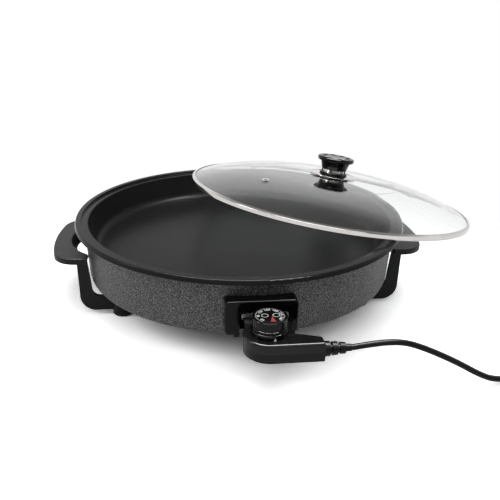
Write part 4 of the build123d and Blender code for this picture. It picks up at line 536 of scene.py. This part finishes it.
def dialRings():
    tree, given, out = startTree("dialRings", [
        ("Radius", "Float"), ("Line", "Float"), ("Thickness", "Float"), ("Spread", "Float"),
        ("Centre", "Vector"),
    ])
    loop = tree.nodes.new("GeometryNodeCurvePrimitiveCircle")
    loop.inputs["Resolution"].default_value = dialPrint["ringCorners"]
    tree.links.new(given.outputs["Radius"], loop.inputs["Radius"])
    stripe = tree.nodes.new("GeometryNodeCurvePrimitiveQuadrilateral")
    tree.links.new(given.outputs["Line"], stripe.inputs["Width"])
    tree.links.new(given.outputs["Thickness"], stripe.inputs["Height"])
    sweep = tree.nodes.new("GeometryNodeCurveToMesh")
    tree.links.new(loop.outputs["Curve"], sweep.inputs["Curve"])
    tree.links.new(stripe.outputs["Curve"], sweep.inputs["Profile Curve"])
    order = tree.nodes.new("GeometryNodeInputIndex")
    side = reckon(tree, "MULTIPLY_ADD", order.outputs[0], 2.0, -1.0)  # -1 is left, 1 is right
    place = tree.nodes.new("ShaderNodeVectorMath")
    apart = reckon(tree, "MULTIPLY", side, given.outputs["Spread"])
    tree.links.new(joinXYZ(tree, apart), place.inputs[0])
    tree.links.new(given.outputs["Centre"], place.inputs[1])
    points = tree.nodes.new("GeometryNodePoints")
    points.inputs["Count"].default_value = 2
    tree.links.new(place.outputs[0], points.inputs["Position"])
    pair = tree.nodes.new("GeometryNodeInstanceOnPoints")
    tree.links.new(points.outputs[0], pair.inputs["Points"])
    tree.links.new(sweep.outputs["Mesh"], pair.inputs["Instance"])
    closeTree(tree, pair.outputs[0], inkWhite, out)
    sizes = {
        "Radius": dialPrint["ringRadius"], "Line": dialPrint["ringLine"], "Thickness": ink["thickness"],
        "Spread": dialPrint["ringSpread"],
        "Centre": (dialPrint["centre"][0] + dialPrint["ringShift"][0],
                   dialPrint["centre"][1] + dialPrint["ringShift"][1], printMiddle),
    }
    return growPiece("dial_rings", tree, sizes, "dial", inkWhite)


def dialPointer():
    # a flat prism; its corners run counter-clockwise
    right, back = dialPrint["centre"]
    corners = [(right + x, back + y) for x, y in dialPrint["pointer"]]
    low, high = faceTop + dialPrint["pointerGap"], faceTop + ink["thickness"]
    count = len(corners)
    points = [(x, y, low) for x, y in corners] + [(x, y, high) for x, y in corners]
    faces = [tuple(reversed(range(count))), tuple(range(count, 2 * count))]
    faces += [(i, (i + 1) % count, count + (i + 1) % count, count + i) for i in range(count)]
    mesh = bpy.data.meshes.new("dial_pointer")
    mesh.from_pydata(points, [], faces)
    return placePiece("dial_pointer", mesh, "dial", inkRed)


def dialNumbers():
    joined = bmesh.new()
    for i, word in enumerate(dialPrint["numbers"]):
        angle = math.radians(dialPrint["firstNumber"] + i * dialPrint["numberStep"])
        data = bpy.data.curves.new("number", "FONT")
        data.body = word
        data.size = dialPrint["numberSize"]
        data.extrude = ink["thickness"] / 2
        data.resolution_u = 2
        data.offset = dialPrint["numberBold"]
        data.align_x = "CENTER"
        data.align_y = "CENTER"
        holder = bpy.data.objects.new("number", data)
        scene.collection.objects.link(holder)
        ready = holder.evaluated_get(bpy.context.evaluated_depsgraph_get())
        mesh = bpy.data.meshes.new_from_object(ready)
        bpy.data.objects.remove(holder)
        radius = dialPrint["numberRadius"]
        place = Vector((dialPrint["centre"][0] + radius * math.cos(angle),
                        dialPrint["centre"][1] + radius * math.sin(angle), printMiddle))
        mesh.transform(Matrix.Translation(place) @ Matrix.Rotation(angle - math.pi / 2, 4, "Z"))
        joined.from_mesh(mesh)
        bpy.data.meshes.remove(mesh)
    bmesh.ops.remove_doubles(joined, verts=joined.verts, dist=dialPrint["weld"])
    mesh = bpy.data.meshes.new("dial_numbers")
    joined.to_mesh(mesh)
    joined.free()
    return placePiece("dial_numbers", mesh, "dial", inkWhite)


dialTicks()
dialRings()
dialNumbers()
dialPointer()
print("dial printed")


# A small white arrow on the collar that the dial is read against.
arrow = {
    "radius": 0.0193, "sunk": 0.0001, "proud": 0.00012,
    "angle": -81.0, "halfWidth": 4.6,  # degrees about the dial's axis
    "low": 0.0723, "high": 0.0757,
}


def collarArrow():
    mesh = bpy.data.meshes.new("collar_arrow")
    half = arrow["halfWidth"]
    corners = [(-half, arrow["low"]), (half, arrow["low"]), (0.0, arrow["high"])]
    points = []
    for radius in (arrow["radius"] - arrow["sunk"], arrow["radius"] + arrow["proud"]):
        for turn, height in corners:
            angle = math.radians(arrow["angle"] + turn)
            points.append((dialPrint["centre"][0] + radius * math.cos(angle),
                           dialPrint["centre"][1] + radius * math.sin(angle), height))
    mesh.from_pydata(points, [], [(0, 2, 1), (3, 4, 5), (0, 1, 4, 3), (1, 2, 5, 4), (2, 0, 3, 5)])
    return placePiece("collar_arrow", mesh, "thermostat", inkWhite)


collarArrow()
print("arrow placed")


studio = {
    "floorReach": 6.0,
    "floorTone": 0.80,
    "floorSeen": 1.65,  # the same paper, as the camera and glass see it
    "fadeFrom": 0.25, "fadeTo": 0.56,  # how far from the pan the floor runs into plain white
    "air": 0.22,  # the world's share in soft light
    # the world's brightness by height, from straight down to straight up
    "horizon": [(0.0, 0.75), (0.46, 0.85), (0.52, 1.0), (0.72, 1.0), (0.80, 0.40), (1.0, 0.10)],
    "frontDim": 0.30, "frontOver": (-0.7, 0.3),
    "rightDim": 0.85, "rightOver": (-0.15, 0.45),
    "glintOn": "pan socket_guard thermostat_upper_housing thermostat_lower_housing dial_collar dial_knob"
               " strain_relief lid_knob knob_top knob_base_ring handle_left handle_right",
    "lamps": [  # name, place, aims at, size, watts, whether only gloss sees it
        ("overhead", (0.0, 0.0, 1.30), (0.0, 0.0, 0.05), (1.0, 0.8), 8.5, False),
        ("frontBox", (-0.15, -1.05, 1.10), (0.0, -0.05, 0.03), (1.8, 0.8), 13.0, False),
        ("leftBox", (-1.15, -0.20, 0.75), (0.0, 0.0, 0.06), (0.4, 0.7), 5.5, False),
        ("rightBox", (1.20, -0.10, 0.75), (0.0, 0.0, 0.06), (0.4, 0.7), 1.6, False),
        ("glint", (0.0, -0.05, 1.25), (0.0, -0.05, 0.05), (1.3, 0.6), 105.0, True),
    ],
}


def seenPlain(tree, ways):
    # the camera's rays, also through the lid, but not a reflection that then passes the lid
    straight = spread(tree, ways.outputs["Glossy Depth"], 1.0, 0.0, 0.0, 1.0)
    through = reckon(tree, "MULTIPLY", ways.outputs["Is Transmission Ray"], straight)
    return reckon(tree, "ADD", ways.outputs["Is Camera Ray"], through, clamp=True)


def floorPaper():
    material, tree, shader = startMaterial("floorPaper")
    tree.nodes.remove(shader)
    ways = tree.nodes.new("ShaderNodeLightPath")
    bright = seenPlain(tree, ways)
    tone = tree.nodes.new("ShaderNodeMix")
    tone.data_type = "RGBA"
    tone.inputs["A"].default_value = fullColour(studio["floorTone"])
    tone.inputs["B"].default_value = fullColour(studio["floorSeen"])
    tree.links.new(bright, tone.inputs["Factor"])
    paper = tree.nodes.new("ShaderNodeBsdfDiffuse")
    tree.links.new(tone.outputs["Result"], paper.inputs["Color"])
    seen = reckon(tree, "ADD", bright, ways.outputs["Is Glossy Ray"], clamp=True)
    away = distance(tree, objectPoints(tree))
    fade = spread(tree, away, 0.0, 1.0, studio["fadeFrom"], studio["fadeTo"])
    plain = tree.nodes.new("ShaderNodeEmission")
    both = tree.nodes.new("ShaderNodeMixShader")
    tree.links.new(reckon(tree, "MULTIPLY", fade, seen), both.inputs["Fac"])
    tree.links.new(paper.outputs["BSDF"], both.inputs[1])
    tree.links.new(plain.outputs["Emission"], both.inputs[2])
    tree.links.new(both.outputs["Shader"], tree.nodes["Material Output"].inputs["Surface"])
    return material


def makeFloor():
    mesh = bpy.data.meshes.new("floor")
    reach = studio["floorReach"]
    corners = [(-reach, -reach, 0), (reach, -reach, 0), (reach, reach, 0), (-reach, reach, 0)]
    mesh.from_pydata(corners, [], [(0, 1, 2, 3)])
    mesh.materials.append(floorPaper())
    floor = bpy.data.objects.new("floor", mesh)
    scene.collection.objects.link(floor)


def makeWorld():
    world = bpy.data.worlds.new("studio")
    scene.world = world
    world.use_nodes = True
    tree = world.node_tree
    background = tree.nodes["Background"]
    background.inputs["Color"].default_value = fullColour(1.0)
    ways = tree.nodes.new("ShaderNodeLightPath")
    coordinates = tree.nodes.new("ShaderNodeTexCoord")
    parts = tree.nodes.new("ShaderNodeSeparateXYZ")
    tree.links.new(coordinates.outputs["Generated"], parts.inputs["Vector"])
    byHeight = ramp(tree, spread(tree, parts.outputs["Z"], 0.0, 1.0, -1.0, 1.0), studio["horizon"])
    byFront = spread(tree, parts.outputs["Y"], studio["frontDim"], 1.0, *studio["frontOver"])
    byRight = spread(tree, parts.outputs["X"], 1.0, studio["rightDim"], *studio["rightOver"])
    paper = reckon(tree, "MULTIPLY", byHeight, reckon(tree, "MULTIPLY", byFront, byRight))
    # soft light gets a share of that brightness, gloss all of it, and the eye and glass plain white
    share = spread(tree, ways.outputs["Is Diffuse Ray"], 1.0, studio["air"], 0.0, 1.0)
    strength = tree.nodes.new("ShaderNodeMix")
    tree.links.new(seenPlain(tree, ways), strength.inputs["Factor"])
    tree.links.new(reckon(tree, "MULTIPLY", paper, share), strength.inputs["A"])
    strength.inputs["B"].default_value = 1.0
    tree.links.new(strength.outputs["Result"], background.inputs["Strength"])


def glintTakers():
    # most of the black mouldings, the pan and the cord, but no glass, enamel or steel
    takers = bpy.data.collections.new("glintTakers")
    for piece in studio["glintOn"].split():
        takers.objects.link(nodes[piece])
    takers.objects.link(mainsCord)
    return takers


def makeLamps():
    for name, place, target, size, watts, glossOnly in studio["lamps"]:
        data = bpy.data.lights.new(name, "AREA")
        data.shape = "RECTANGLE"
        data.size, data.size_y = size
        data.energy = watts
        lamp = bpy.data.objects.new(name, data)
        lamp.location = place
        lamp.rotation_euler = (Vector(target) - Vector(place)).to_track_quat("-Z", "Y").to_euler()
        lamp.visible_camera = False
        scene.collection.objects.link(lamp)
        if glossOnly:
            lamp.visible_diffuse = False
            lamp.light_linking.receiver_collection = glintTakers()


makeFloor()
makeWorld()
makeLamps()
scene.view_settings.view_transform = "Standard"
print("studio set")
